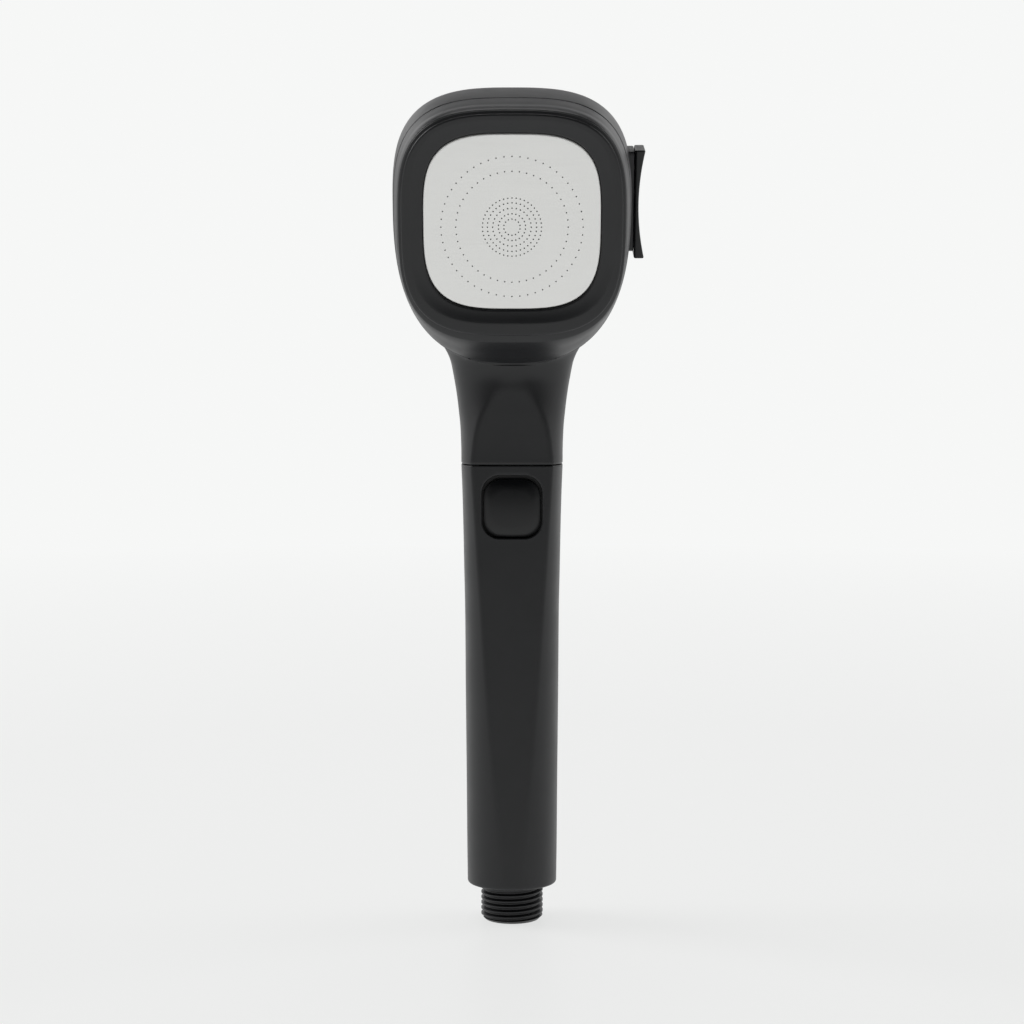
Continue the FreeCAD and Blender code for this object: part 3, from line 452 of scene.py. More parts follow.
def make_cover():
    """Front of the head in one moulding: the dish around the plate, a flat rim and the chin."""
    opening_half, floor_depth, seat_depth = 27.0, 3.6, PLATE_DEPTH + PLATE_THICKNESS
    lip_half, dish_half, dish_depth, rim_depth = PLATE_HALF + 0.22, 32.6, 1.25, 0.02
    rim_edge, rear_edge = 0.75, 0.12
    angles = even_angles()
    reach = cover_reach(angles)
    dish_start = lip_half + 0.30
    rows = [plate_ring(angles, opening_half, depth) for depth in (floor_depth, seat_depth)]
    lip = ((lip_half, seat_depth), (lip_half, 1.55), (lip_half + 0.10, 1.34), (dish_start, dish_depth))
    rows += [plate_ring(angles, half, depth) for half, depth in lip]
    for share in np.linspace(0, 1, 12)[1:]:
        eased = share * share * (1.6 - 0.6 * share)
        rise = 0.75 * share + 0.25 * (1 - (1 - share) ** 2) * eased
        depth = max(dish_depth - (dish_depth - rim_depth) * rise, 1.5 * rim_depth)
        rows.append(plate_ring(angles, dish_start + (dish_half - dish_start) * share, depth))
    inner, outer = plate_ring(angles, dish_half, 0.0), head_ring(angles, 0.0, rim_edge)
    rows += [inner + (outer - inner) * share for share in (0.12, 0.35, 0.65, 0.9)]
    for inset, back in round_edge(rim_edge, 6):
        rows.append(head_ring(angles, 0.0, inset) - np.array((0, 0, back)))
    side_start, side_end = rim_edge + 0.25, reach - rear_edge
    for share in np.linspace(0, 1, 26)[1:]:
        rows.append(head_ring(angles, side_start + (side_end - side_start) * share))
    rows += [head_ring(angles, reach, inset) for inset in (rear_edge, WALL)]
    for share in (0.75, 0.5, 0.25):
        depth = floor_depth + (np.maximum(reach, floor_depth) - floor_depth) * share
        rows.append(head_ring(angles, depth, WALL + 0.4))
    rows.append(head_ring(angles, floor_depth, WALL + 1.0))
    cover = ring_loft("front_cover", [to_world(row) for row in rows], wrap=True)
    return crisp(cover, 50)


def make_band():
    """The band behind the cover's lip, which the rear shell closes onto; it sinks in under the chin."""
    cover_gap, chin_recess, chin_start, chin_fade = 0.28, 0.9, 33.0, 6.0
    angles = even_angles()
    start = cover_reach(angles) + cover_gap
    end = SEAM_DEPTH - SEAM_GAP
    below = -head_ring(angles, start)[:, 1]
    recess = chin_recess * np.clip((below - chin_start) / chin_fade, 0, 1)
    rows = [head_ring(angles, start, WALL)]
    for back, inset in ((0.0, 0.28), (0.03, 0.14), (0.10, 0.06)):
        rows.append(head_ring(angles, start + back, inset + recess))
    for share in np.linspace(0, 1, 20):
        depth = start + 0.18 + (end - 0.38 - start) * share
        rows.append(head_ring(angles, depth, 0.03 + 0.09 * share + recess))
    for back, inset in ((0.08, 0.18), (0.0, 0.30)):
        rows.append(head_ring(angles, end - back, inset + recess))
    rows.append(head_ring(angles, end, WALL))
    band = ring_loft("head_band", [to_world(row) for row in rows], wrap=True)
    return crisp(band, 50)


# ---------------------------------------------------------------- the spray plate

SPRAY_CIRCLES = ((2.6, 14), (4.3, 22), (6.1, 28), (7.8, 36), (9.35, 44), (17.8, 48), (22.5, 56))
PATTERN_MIDDLE = -1.5
SPRAY_HOLE = 0.23
PLATE_CROWN = 0.32


def plate_height(x, y):
    """The plate is slightly pillowed: it falls away faster towards its rim."""
    share = (np.abs(x) ** PLATE_POWER + np.abs(y) ** PLATE_POWER) ** (1 / PLATE_POWER) / PLATE_HALF
    return -PLATE_DEPTH + PLATE_CROWN * (1 - share**4)


def make_plate():
    """A thin sheet with a rolled rim and circles of real holes."""
    rim_width, rim_drop, rim_steps = 0.9, 0.40, 6
    hole_sides, grid_spacing, grid_margin, hole_clearance = 10, 1.7, 0.8, 0.6
    angles = even_angles()
    flat_half = PLATE_HALF - rim_width
    points, edges = [], []

    def add_loop(loop):
        start = len(points)
        points.extend(Vector(point) for point in loop)
        edges.extend((start + i, start + (i + 1) % len(loop)) for i in range(len(loop)))
        return list(range(start, start + len(loop)))

    rim = add_loop(plate_ring(angles, flat_half, 0)[:, :2].tolist())
    around = [2 * math.pi * side / hole_sides for side in range(hole_sides)]
    centres = []
    for radius, count in SPRAY_CIRCLES:
        for index in range(count):
            turn = 2 * math.pi * index / count
            centres.append((radius * math.sin(turn), PATTERN_MIDDLE + radius * math.cos(turn)))
    loops = [
        add_loop([(x + SPRAY_HOLE * math.cos(a), y + SPRAY_HOLE * math.sin(a)) for a in around])
        for x, y in centres
    ]
    places = np.array(centres)
    limit = flat_half - grid_margin
    grid = np.arange(-limit, limit + 0.1, grid_spacing)
    for x in grid:
        for y in grid:
            inside = abs(x / limit) ** PLATE_POWER + abs(y / limit) ** PLATE_POWER < 1
            if inside and np.hypot(places[:, 0] - x, places[:, 1] - y).min() > hole_clearance:
                points.append(Vector((x, y)))
    flat, _, faces, origins, _, _ = delaunay_2d_cdt(points, edges, [], 2, 1e-6)
    new_of = {old: index for index, olds in enumerate(origins) for old in olds}
    spread = np.array([tuple(point) for point in flat])
    count = len(spread)
    front = np.column_stack((spread, plate_height(spread[:, 0], spread[:, 1])))
    back = np.column_stack((spread, np.full(count, -PLATE_DEPTH - PLATE_THICKNESS)))
    hole_of = {new_of[index]: number for number, loop in enumerate(loops) for index in loop}
    skin = []
    for face in faces:
        holes = {hole_of.get(index) for index in face}
        if None in holes or len(holes) > 1:
            skin.append(tuple(face))
    skin += [tuple(count + i for i in face[::-1]) for face in skin]
    for loop in loops:
        ids = [new_of[index] for index in loop]
        for here, after in zip(ids, ids[1:] + ids[:1]):
            skin.append((here, after, after + count, here + count)[::-1])
    rolled = [front[[new_of[index] for index in rim]]]
    edge_height = rolled[0][:, 2].mean()
    for step in range(1, rim_steps + 1):
        turn = math.pi / 2 * step / rim_steps
        ring = plate_ring(angles, flat_half + rim_width * math.sin(turn), 0)
        level = rolled[0][:, 2] + (edge_height - rolled[0][:, 2]) * step / rim_steps
        ring[:, 2] = level - rim_drop * (1 - math.cos(turn))
        rolled.append(ring)
    rolled.append(plate_ring(angles, PLATE_HALF, PLATE_DEPTH + PLATE_THICKNESS))
    cloud = [front, back] + rolled[1:]
    starts = [2 * count + RING_COUNT * index for index in range(len(rolled) - 1)]
    below = [new_of[index] for index in rim]
    for start in starts:
        above = list(range(start, start + RING_COUNT))
        for i in range(RING_COUNT):
            j = (i + 1) % RING_COUNT
            skin.append((below[i], below[j], above[j], above[i])[::-1])
        below = above
    under = [new_of[index] + count for index in rim]
    for i in range(RING_COUNT):
        j = (i + 1) % RING_COUNT
        skin.append((below[i], below[j], under[j], under[i])[::-1])
    plate = new_piece("spray_plate_skin", to_world(np.vstack(cloud)), skin)
    return crisp(outward(plate), 40)


# ---------------------------------------------------------------- the rear shell

SLIDER_DEPTH, SLIDER_LENGTH, SLIDER_WIDTH = 35.0, 35.8, 11.0
SLIDER_INNER, SLIDER_WAIST, SLIDER_TIP = 40.1, 41.5, 43.5
TRACK_BOTTOM, TRACK_TOP, TRACK_WIDTH = -15.7, 17.8, 10.0
TRACK_INNER, TRACK_OUTER = 36.6, 39.9

BACK_DEPTH, BACK_EDGE, BACK_CROWN = 51.0, 16.0, 250.0
NECK_TOP, NECK_BLEND, BLEND_FADE = 240.0, 7.0, 9.0
SHELL_LOW, SHELL_HIGH, GRID_STEP = (-41.5, -60.5, 153.0), (41.5, 20.5, 281.5), 0.95
SHELL_EDGE = 0.6
CHIN_CUT, CHIN_CLEARANCE = -48.5, 0.75


def head_distance(x, y, depth):
    """Roughly the signed distance to the head's rounded block, from its own frame."""
    half, up, down, power_up, power_down = (
        between(depth, HEAD_OUTLINES[:, 0], HEAD_OUTLINES[:, column]) for column in range(1, 6)
    )
    upper = y >= 0
    power, reach = np.where(upper, power_up, power_down), np.where(upper, up, down)
    across, along = np.abs(x) / half, np.abs(y) / reach
    total = np.maximum((across**power + along**power) ** (1 / power), 1e-6)
    slope = np.hypot(
        (across / total) ** (power - 1) / half, (along / total) ** (power - 1) / reach
    )
    side = (total - 1) / slope
    back = depth - BACK_DEPTH + (x * x + y * y) / (2 * BACK_CROWN)
    return (
        np.hypot(np.maximum(side + BACK_EDGE, 0), np.maximum(back + BACK_EDGE, 0))
        + np.minimum(np.maximum(side, back) + BACK_EDGE, 0)
        - BACK_EDGE
    )


def shell_field(points):
    """Negative inside the joined head and neck; the head runs on a little in front of its seam."""
    past_seam, blend_start, least_blend = 4.0, 1.0, 0.06
    head = to_head(points)
    depth = -head[..., 2]
    block = head_distance(head[..., 0], head[..., 1], depth)
    block = np.maximum(block, SEAM_DEPTH - past_seam - depth)
    x, y, z = points[..., 0], points[..., 1], points[..., 2]
    neck = np.maximum(np.hypot(x, y) - grip_radius(np.arctan2(y, x), z), z - NECK_TOP)
    blend = NECK_BLEND * np.clip((depth - SEAM_DEPTH - blend_start) / BLEND_FADE, least_blend, 1.0)
    return soft_min(block, neck, blend)


def field_slope(points):
    """The field's gradient by central differences."""
    reach = 0.05
    slope = np.empty_like(points)
    for axis in range(3):
        step = np.zeros(3)
        step[axis] = reach
        slope[:, axis] = (shell_field(points + step) - shell_field(points - step)) / (2 * reach)
    return slope


def onto_surface(points, rounds=3):
    """Moves points to where the field is zero, by Newton's steps along its slope."""
    for _ in range(rounds):
        slope = field_slope(points)
        steep = np.maximum((slope * slope).sum(1), 0.05)
        points = points - slope * (shell_field(points) / steep)[:, None]
    return points


def surface_net(low, high):
    """A skin of quads where the field is zero: one point in each cell that the surface crosses."""
    axes = [np.arange(low[axis], high[axis], GRID_STEP) for axis in range(3)]
    grid = np.stack(np.meshgrid(*axes, indexing="ij"), -1)
    field = np.concatenate([shell_field(slab)[None] for slab in grid])
    inside = field < 0
    cells = tuple(size - 1 for size in field.shape)
    count = np.zeros(cells, int)
    for dx in (0, 1):
        for dy in (0, 1):
            for dz in (0, 1):
                count += inside[dx : dx + cells[0], dy : dy + cells[1], dz : dz + cells[2]]
    crossed = (count > 0) & (count < 8)
    number = np.full(cells, -1)
    number[crossed] = np.arange(crossed.sum())
    places = np.argwhere(crossed)
    points = np.array(low) + (places + 0.5) * GRID_STEP
    quads = []
    for axis in range(3):
        one, two = [other for other in range(3) if other != axis]
        change = np.argwhere(np.diff(inside.astype(int), axis=axis) != 0)
        change = change[(change[:, one] > 0) & (change[:, two] > 0)]
        change = change[(change[:, one] < cells[one]) & (change[:, two] < cells[two])]
        corners = []
        for a, b in ((1, 1), (0, 1), (0, 0), (1, 0)):
            cell = change.copy()
            cell[:, one] -= a
            cell[:, two] -= b
            corners.append(number[tuple(cell.T)])
        quads.append(np.stack(corners, 1))
    quads = np.vstack(quads)
    quads = quads[(quads >= 0).all(1)]
    points = onto_surface(points)
    ends = np.concatenate((quads[:, [0, 1]], quads[:, [1, 2]], quads[:, [2, 3]], quads[:, [3, 0]]))
    ends = np.concatenate((ends, ends[:, ::-1]))
    for _ in range(4):
        total, shares = np.zeros_like(points), np.zeros(len(points))
        np.add.at(total, ends[:, 0], points[ends[:, 1]])
        np.add.at(shares, ends[:, 0], 1)
        points = onto_surface(0.4 * points + 0.6 * total / shares[:, None], 1)
    points = onto_surface(points, 2)
    middle = points[quads].mean(1)
    normal = np.cross(points[quads[:, 2]] - points[quads[:, 0]], points[quads[:, 3]] - points[quads[:, 1]])
    wrong = (normal * field_slope(middle)).sum(1) < 0
    quads[wrong] = quads[wrong][:, ::-1]
    return points, quads


def make_rear_shell():
    """Back of the head and neck in one moulding, open at the band's seam and at the handle's."""
    points, quads = surface_net(SHELL_LOW, SHELL_HIGH)
    shell = new_piece("rear_shell_skin", points, quads.tolist())
    work = bmesh.new()
    work.from_mesh(shell.data)
    chin = HEAD_CENTRE + HEAD_UP * CHIN_CUT
    seams = (
        (HEAD_CENTRE - HEAD_OUT * (SEAM_DEPTH + 0.10), HEAD_OUT, True),
        (np.array((0.0, 0.0, NECK_SEAM + SEAM_GAP)), np.array((0.0, 0.0, -1.0)), False),
    )

    def slice_at(place, direction, among, clear=False):
        bmesh.ops.bisect_plane(
            work,
            geom=among,
            dist=1e-7,
            plane_co=Vector((place * MM).tolist()),
            plane_no=Vector(direction.tolist()),
            clear_outer=clear,
        )

    def geometry(above_chin):
        if not above_chin:
            return work.verts[:] + work.edges[:] + work.faces[:]
        limit, up = Vector((chin * MM).tolist()), Vector(HEAD_UP.tolist())
        faces = [face for face in work.faces if (face.calc_center_median() - limit).dot(up) > 0]
        edges = {edge for face in faces for edge in face.edges}
        verts = {vertex for face in faces for vertex in face.verts}
        return list(verts) + list(edges) + faces

    slice_at(chin, HEAD_UP, geometry(False))
    for place, direction, above_chin in seams:
        for back in (0.0, 0.2 * SHELL_EDGE, 0.5 * SHELL_EDGE, SHELL_EDGE):
            slice_at(place - direction * back, direction, geometry(above_chin), back == 0.0)
    work.to_mesh(shell.data)
    work.free()
    points = np.array([tuple(vertex.co) for vertex in shell.data.vertices]) / MM
    slope = field_slope(points)
    slope /= np.linalg.norm(slope, axis=1)[:, None]
    for place, direction, above_chin in seams:
        back = (place - points) @ direction
        near = np.clip(SHELL_EDGE - back, 0, SHELL_EDGE)
        if above_chin:
            near[(points - chin) @ HEAD_UP < 0] = 0
        points -= slope * (SHELL_EDGE - np.sqrt(SHELL_EDGE**2 - near * near))[:, None]
    shell.data.vertices.foreach_set("co", (points * MM).ravel())
    shell.data.update()
    thick = shell.modifiers.new("wall", "SOLIDIFY")
    thick.thickness = WALL * MM
    thick.offset = -1
    apply_modifiers(outward(shell))
    inner_side, outer_side, gap = 32.0, 46.0, 0.05
    slot_half = TRACK_WIDTH / 2 + gap
    slot = inner_block(
        "slot_cutter",
        (inner_side, TRACK_BOTTOM - gap, -SLIDER_DEPTH - slot_half),
        (outer_side, TRACK_TOP + gap, -SLIDER_DEPTH + slot_half),
        0.0,
    )
    angles = even_angles()
    depths = np.linspace(6.0, SEAM_DEPTH + 0.15, 8)
    rows = [to_world(head_ring(angles, depth, -CHIN_CLEARANCE)) for depth in depths]
    chin_space = ring_loft("chin_cutter", rows, cap_first=True, cap_last=True)
    return crisp(cut_away(cut_away(outward(shell), slot), chin_space), 40)


# ---------------------------------------------------------------- the selector slider

def inner_block(name, low, high, edge=0.25):
    """A block of the head's frame with broken edges."""
    work = bmesh.new()
    bmesh.ops.create_cube(work, size=1.0)
    low, high = np.array(low), np.array(high)
    for vertex in work.verts:
        vertex.co = Vector(((np.array(vertex.co) + 0.5) * (high - low) + low).tolist())
    if edge:
        bmesh.ops.bevel(work, geom=work.edges[:], offset=edge, segments=2, affect="EDGES")
    points = to_world(np.array([tuple(vertex.co) for vertex in work.verts]))
    faces = [tuple(vertex.index for vertex in face.verts) for face in work.faces]
    work.free()
    return outward(new_piece(name, points, faces))


def make_track():
    """The boss that the slider runs on, let into the head's side."""
    edge, corner, length = 0.4, 1.2, TRACK_TOP - TRACK_BOTTOM

    def loop(inset, x):
        outline = rounded_rectangle(TRACK_WIDTH - 2 * inset, length - 2 * inset, corner - 0.8 * inset)
        deep, along = outline[:, 0], outline[:, 1] + (TRACK_TOP + TRACK_BOTTOM) / 2
        return to_world(np.stack((np.full_like(deep, x), along, deep - SLIDER_DEPTH), -1))

    rows = [loop(0.0, TRACK_INNER), loop(0.0, TRACK_OUTER - edge)]
    rows += [loop(inset, TRACK_OUTER - back) for inset, back in round_edge(edge)[::-1]]
    track = ring_loft("slider_track_skin", rows, cap_first=True, cap_last=True)
    slot_reach, slot_half = 3.5, 2.6
    slot = inner_block(
        "track_slot",
        (TRACK_INNER - 2, -slot_reach, -SLIDER_DEPTH - slot_half),
        (TRACK_OUTER + 2, slot_reach, -SLIDER_DEPTH + slot_half),
        0.0,
    )
    return crisp(cut_away(track, slot), 40)


def make_slider():
    """A saddle with a hollowed face and rounded edges, on the web, foot and arm behind it."""
    half, edge, hollow_depth = SLIDER_LENGTH / 2, 0.55, 0.25
    places = [(-half + back, inset) for inset, back in round_edge(edge, 5)]
    places += [(along, 0.0) for along in np.linspace(-half + 2 * edge, half - 2 * edge, 48)]
    places += [(half - back, inset) for inset, back in round_edge(edge, 5)[::-1]]
    rows = []
    for along, inset in places:
        share = (along / half) ** 2
        outer = SLIDER_WAIST + (SLIDER_TIP - SLIDER_WAIST) * share
        thickness = outer - SLIDER_INNER - 2 * inset
        outline = rounded_rectangle(thickness, SLIDER_WIDTH - 2 * inset, max(edge - 0.6 * inset, 0.12))
        x, deep = (outer + SLIDER_INNER) / 2 + outline[:, 0], outline[:, 1]
        hollow = hollow_depth * (1 - (2 * deep / SLIDER_WIDTH) ** 2) * (1 - share) * (outline[:, 0] > 0)
        rows.append(to_world(np.stack((x - hollow, np.full_like(x, along), deep - SLIDER_DEPTH), -1)))
    saddle = ring_loft("slider_saddle", rows, cap_first=True, cap_last=True)
    foot_inner, foot_outer = 34.4, TRACK_INNER - 0.3
    shapes = (
        ("slider_web", (foot_inner, -1.7, 2.4), (SLIDER_INNER + 0.6, 1.7, 2.4)),
        ("slider_foot", (foot_inner, -5.5, 4.0), (foot_outer, 5.5, 4.0)),
        ("slider_arm", (16.1, -1.4, 2.0), (foot_inner + 0.3, 1.4, 2.0)),
    )
    blocks = [
        inner_block(name, (*low[:2], -SLIDER_DEPTH - low[2]), (*high[:2], -SLIDER_DEPTH + high[2]))
        for name, low, high in shapes
    ]
    return crisp(joined("selector_slider_skin", [saddle, *blocks]), 50)


# ---------------------------------------------------------------- materials

class Finish:
    """A node material being put together; its textures use object coordinates, in metres."""

    def __init__(self, name):
        self.material = bpy.data.materials.new(name)
        self.material.use_nodes = True
        self.tree = self.material.node_tree
        self.shader = self.tree.nodes["Principled BSDF"]
        self.places = self.add("ShaderNodeTexCoord").outputs["Object"]

    def add(self, kind, **settings):
        node = self.tree.nodes.new(kind)
        for name, value in settings.items():
            setattr(node, name, value)
        return node

    def link(self, source, target):
        self.tree.links.new(source, target)

    def stretched(self, stretch):
        """Coordinates drawn out along some axes, for grain."""
        mapping = self.add("ShaderNodeMapping")
        mapping.inputs["Scale"].default_value = stretch
        self.link(self.places, mapping.inputs["Vector"])
        return mapping.outputs["Vector"]

    def noise(self, size, detail, roughness=0.5, places=None):
        """Cloudy noise whose features are about this many millimetres across."""
        node = self.add("ShaderNodeTexNoise")
        node.inputs["Scale"].default_value = 1.0 / (size * MM)
        node.inputs["Detail"].default_value = detail
        node.inputs["Roughness"].default_value = roughness
        self.link(places or self.places, node.inputs["Vector"])
        return node.outputs["Fac"]

    def between_values(self, source, low, high, start=0.3, end=0.7):
        """A value turned from the range start to end into the range low to high."""
        node = self.add("ShaderNodeMapRange")
        for name, value in (("From Min", start), ("From Max", end), ("To Min", low), ("To Max", high)):
            node.inputs[name].default_value = value
        self.link(source, node.inputs["Value"])
        return node.outputs["Result"]

    def mixed(self, share, first, second):
        """One colour turning into another where the share grows; each is a colour or a socket."""
        node = self.add("ShaderNodeMix", data_type="RGBA")
        colours = [socket for socket in node.inputs if socket.type == "RGBA"]
        for socket, colour in zip(colours, (first, second)):
            if isinstance(colour, tuple):
                socket.default_value = (*colour, 1.0)
            else:
                self.link(colour, socket)
        self.link(share, node.inputs["Factor"])
        return next(socket for socket in node.outputs if socket.type == "RGBA")

    def colour(self, socket):
        self.link(socket, self.shader.inputs["Base Color"])

    def set(self, **values):
        for name, value in values.items():
            self.shader.inputs[name.replace("_", " ")].default_value = value

    def bump(self, *layers):
        """Stacked bumps: (socket, strength, height in millimetres)."""
        normal = None
        for source, strength, height in layers:
            node = self.add("ShaderNodeBump")
            node.inputs["Strength"].default_value = strength
            node.inputs["Distance"].default_value = height * MM
            self.link(source, node.inputs["Height"])
            if normal:
                self.link(normal, node.inputs["Normal"])
            normal = node.outputs["Normal"]
        self.link(normal, self.shader.inputs["Normal"])


def moulded(name, colour, roughness, spread=0.05, texture=0.16, wear=0.25, specular=0.5):
    """Moulded plastic or rubber: faint flow clouds, a fine spark-eroded texture and paler worn edges."""
    finish = Finish(name)
    low = tuple(channel * (1 - 2 * spread) for channel in colour)
    high = tuple(channel * (1 + 2 * spread) for channel in colour)
    clouds = finish.mixed(finish.noise(14.0, 3.0), low, high)
    worn = tuple(min(channel * 1.9 + 0.012, 1.0) for channel in colour)
    edges = finish.add("ShaderNodeNewGeometry").outputs["Pointiness"]
    rubbed = finish.add("ShaderNodeMath", operation="MULTIPLY")
    finish.link(finish.between_values(edges, 0.0, wear, 0.515, 0.60), rubbed.inputs[0])
    finish.link(finish.between_values(finish.noise(1.6, 3.0), 0.3, 1.0), rubbed.inputs[1])
    finish.colour(finish.mixed(rubbed.outputs["Value"], clouds, worn))
    handled = finish.between_values(finish.noise(9.0, 4.0, 0.6), roughness - 0.03, roughness + 0.03)
    finish.link(handled, finish.shader.inputs["Roughness"])
    finish.set(Specular_IOR_Level=specular)
    finish.bump((finish.noise(0.9, 2.0), 0.10, 0.02), (finish.noise(0.22, 2.0), texture, 0.02))
    return finish.material


def metal(name, colour, roughness, grain, strength=0.08, stain=0.05):
    """Metal with grain drawn out by the given stretch and faint tonal clouds."""
    finish = Finish(name)
    lines = finish.noise(1.0, 3.0, 0.6, finish.stretched(grain))
    low = tuple(channel * (1 - stain) for channel in colour)
    high = tuple(min(channel * (1 + stain), 1.0) for channel in colour)
    clouds = finish.mixed(finish.noise(11.0, 3.0), low, high)
    finish.colour(finish.mixed(finish.between_values(lines, 0.0, 0.16), clouds, low))
    worn = finish.between_values(lines, roughness - 0.04, roughness + 0.05)
    finish.link(worn, finish.shader.inputs["Roughness"])
    finish.set(Metallic=1.0)
    finish.bump((lines, strength, 0.01))
    return finish.material


def fibre(name, colour):
    """Felted fibre: crossed strands and a loose nap."""
    finish = Finish(name)
    strands = finish.noise(0.8, 5.0, 0.7, finish.stretched((1.0, 1.0, 0.35)))
    shade = tuple(channel * 0.8 for channel in colour)
    finish.colour(finish.mixed(strands, shade, colour))
    finish.link(finish.between_values(strands, 0.85, 0.98), finish.shader.inputs["Roughness"])
    finish.bump((strands, 0.6, 0.2), (finish.noise(0.2, 3.0), 0.4, 0.05))
    return finish.material


ROUND_GRAIN = (1.0, 1.0, 6.0)
ACROSS_GRAIN = (0.05, 5.0, 5.0)
MATERIALS = {
    "black_satin": moulded("black_satin", (0.0080, 0.0086, 0.0100), 0.40),
    "button_black": moulded("button_black", (0.0046, 0.0052, 0.0060), 0.36, texture=0.10, specular=0.42),
    "brushed_plate": metal("brushed_plate", (0.80, 0.80, 0.785), 0.34, ACROSS_GRAIN, 0.05, 0.015),
    "steel": metal("steel", (0.58, 0.58, 0.59), 0.30, ROUND_GRAIN),
    "inner_plastic": moulded("inner_plastic", (0.50, 0.50, 0.48), 0.45, wear=0.1),
    "acetal_white": moulded("acetal_white", (0.78, 0.78, 0.75), 0.28, spread=0.02, texture=0.06, wear=0.0),
    "brass": metal("brass", (0.62, 0.47, 0.22), 0.28, ROUND_GRAIN),
    "filter_fibre": fibre("filter_fibre", (0.84, 0.83, 0.78)),
    "rubber": moulded("rubber", (0.020, 0.020, 0.021), 0.62, texture=0.30, specular=0.35),
}


# ---------------------------------------------------------------- the pieces in place

node_slot = {part["node"]: part["material_slot"] for part in frame["record"]["subparts"]}
for node, thing in frame["nodes"].items():
    thing.data.materials.clear()
    thing.data.materials.append(MATERIALS[node_slot[node]])


def place(piece, body, node):
    """The piece stands for a CAD node, moves with its body and takes its finish."""
    piece.data.materials.clear()
    piece.data.materials.append(MATERIALS[node_slot[node]])
    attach(piece, body)
    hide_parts(node)


place(make_handle(), "root", "handle_shell")
place(make_rear_shell(), "root", "rear_shell")
place(make_band(), "root", "front_band")
place(make_cover(), "root", "front_cover")
place(make_plate(), "root", "spray_plate")
place(make_track(), "root", "slider_track")
place(make_button(), "button", "stop_button")
place(make_slider(), "selector", "selector_slider")

boot = make_boot()
place(boot, "root", "button_boot")
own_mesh(boot)


# ---------------------------------------------------------------- floor, light and camera

PAPER = (0.924, 0.930, 0.924)


def make_floor():
    """A pale floor that fades into the backdrop's own white away from the object."""
    columns, level, fade_radius = 96, -0.02, 1.6
    angles = np.linspace(0, 2 * math.pi, columns, endpoint=False)
    rings = [level_ring(radius, level, angles) for radius in (20.0, 150.0, 500.0, 1500.0, 6000.0)]
    middle = tuple(reversed(range(columns)))
    floor = new_piece("floor", np.vstack(rings), ring_faces(len(rings), columns) + [middle])
    finish = Finish("floor")
    finish.colour(finish.mixed(finish.noise(60.0, 2.0), (0.80, 0.805, 0.80), (0.815, 0.82, 0.815)))
    finish.set(Roughness=0.42, Specular_IOR_Level=0.35)
    glow = finish.add("ShaderNodeEmission")
    glow.inputs["Color"].default_value = (*PAPER, 1.0)
    spread = finish.add("ShaderNodeTexGradient", gradient_type="SPHERICAL")
    finish.link(finish.stretched((1 / fade_radius,) * 3), spread.inputs["Vector"])
    blend = finish.add("ShaderNodeMixShader")
    near = finish.between_values(spread.outputs["Fac"], 0.0, 0.26, 0.15, 0.75)
    finish.link(near, blend.inputs["Fac"])
    finish.link(glow.outputs["Emission"], blend.inputs[1])
    finish.link(finish.shader.outputs["BSDF"], blend.inputs[2])
    output = next(node for node in finish.tree.nodes if node.type == "OUTPUT_MATERIAL")
    finish.link(blend.outputs["Shader"], output.inputs["Surface"])
    floor.data.materials.append(finish.material)


def soft_light(name, place, side, power):
    """A square softbox that faces the origin."""
    lamp = bpy.data.lights.new(name, "AREA")
    lamp.shape = "SQUARE"
    lamp.size, lamp.energy = side, power
    light = bpy.data.objects.new(name, lamp)
    light.location = place
    light.rotation_euler = (-Vector(place)).to_track_quat("-Z", "Y").to_euler()
    bpy.context.scene.collection.objects.link(light)


def set_ramp(node, shades):
    """Greys of a colour ramp, as (position, shade)."""
    elements = node.color_ramp.elements
    while len(elements) < len(shades):
        elements.new(0.5)
    for element, (position, shade) in zip(elements, shades):
        element.position = position
        element.color = (shade, shade, shade, 1.0)


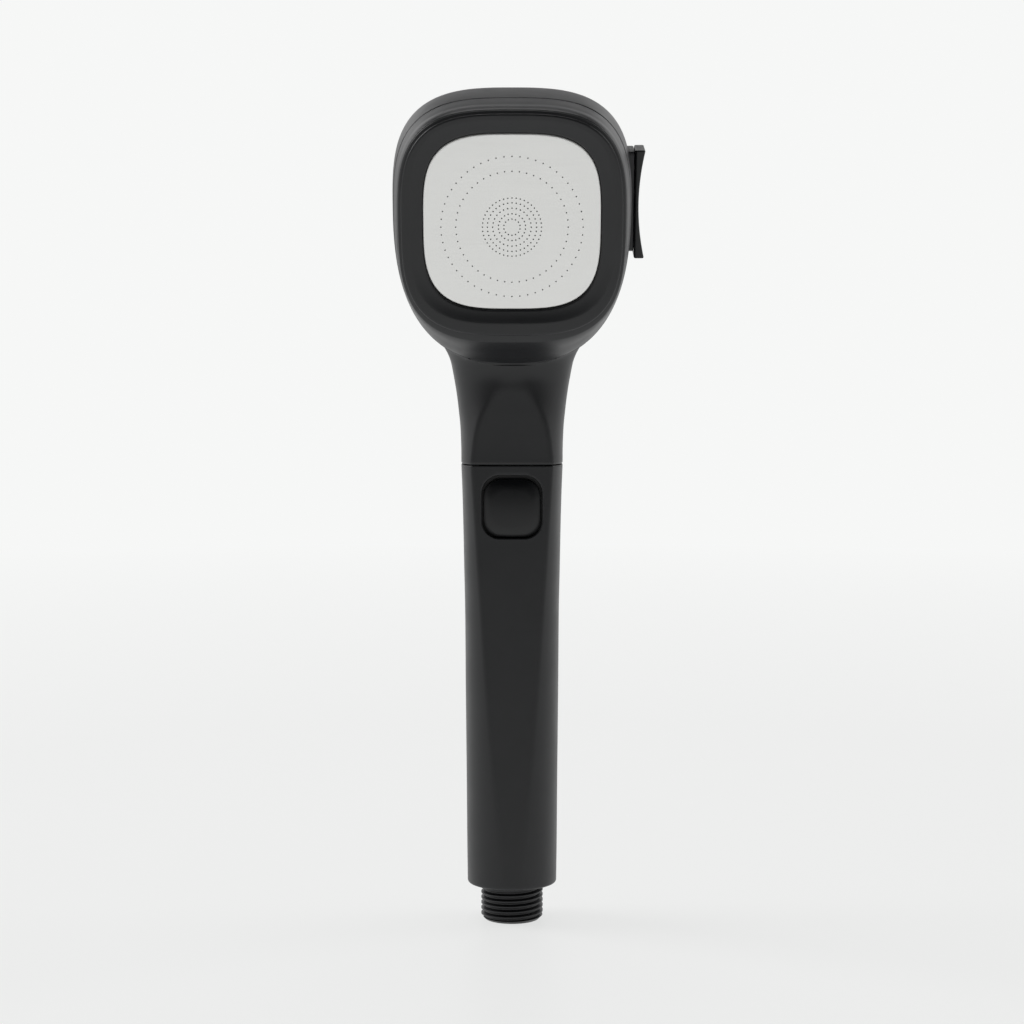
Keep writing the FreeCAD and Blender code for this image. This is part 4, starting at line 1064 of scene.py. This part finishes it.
def make_world():
    """A studio that is bright behind and beside the object and dark in front of it."""
    world = bpy.data.worlds.new("studio")
    bpy.context.scene.world = world
    world.use_nodes = True
    tree = world.node_tree
    background = tree.nodes["Background"]
    direction = tree.nodes.new("ShaderNodeTexCoord").outputs["Generated"]
    split = tree.nodes.new("ShaderNodeSeparateXYZ")
    tree.links.new(direction, split.inputs["Vector"])

    front_to_back = tree.nodes.new("ShaderNodeMapRange")
    front_to_back.inputs["From Min"].default_value = -1.0
    tree.links.new(split.outputs["Y"], front_to_back.inputs["Value"])
    walls = tree.nodes.new("ShaderNodeValToRGB")
    tree.links.new(front_to_back.outputs["Result"], walls.inputs["Fac"])
    set_ramp(walls, ((0.0, 0.05), (0.14, 0.11), (0.31, 0.48), (0.50, 0.85), (0.90, 1.0)))
    ceiling = tree.nodes.new("ShaderNodeValToRGB")
    tree.links.new(split.outputs["Z"], ceiling.inputs["Fac"])
    set_ramp(ceiling, ((0.0, 0.56), (0.10, 0.64), (0.34, 1.2), (0.44, 0.90), (0.55, 0.03)))
    dimmed = tree.nodes.new("ShaderNodeVectorMath")
    dimmed.operation = "SCALE"
    tree.links.new(walls.outputs["Color"], dimmed.inputs["Vector"])
    tree.links.new(ceiling.outputs["Color"], dimmed.inputs["Scale"])

    seen = tree.nodes.new("ShaderNodeLightPath").outputs["Is Camera Ray"]
    pick = tree.nodes.new("ShaderNodeMix")
    pick.data_type = "RGBA"
    lighting, backdrop = [socket for socket in pick.inputs if socket.type == "RGBA"]
    tree.links.new(seen, pick.inputs["Factor"])
    tree.links.new(dimmed.outputs["Vector"], lighting)
    backdrop.default_value = (*PAPER, 1.0)
    tree.links.new(next(s for s in pick.outputs if s.type == "RGBA"), background.inputs["Color"])


make_floor()
make_world()
soft_light("left_softbox", (-2.2, 0.5, 2.0), 1.4, 36.0)
soft_light("right_softbox", (2.4, 0.7, 2.2), 1.4, 20.0)
soft_light("overhead", (0.0, 0.6, 2.6), 1.8, 18.0)

# The photograph's camera, found from the perspective of the thread and the handle's foot.
camera = bpy.data.objects.new("camera", bpy.data.cameras.new("camera"))
camera.data.lens = 84.4
camera.data.sensor_width = 36.0
camera.data.clip_start = 0.01
camera.location = (0.0, -0.8054, 0.2035)
camera.rotation_euler = (math.radians(90.0 - 4.6), 0.0, 0.0)
bpy.context.scene.collection.objects.link(camera)
bpy.context.scene.camera = camera
bpy.context.scene.view_settings.view_transform = "Standard"
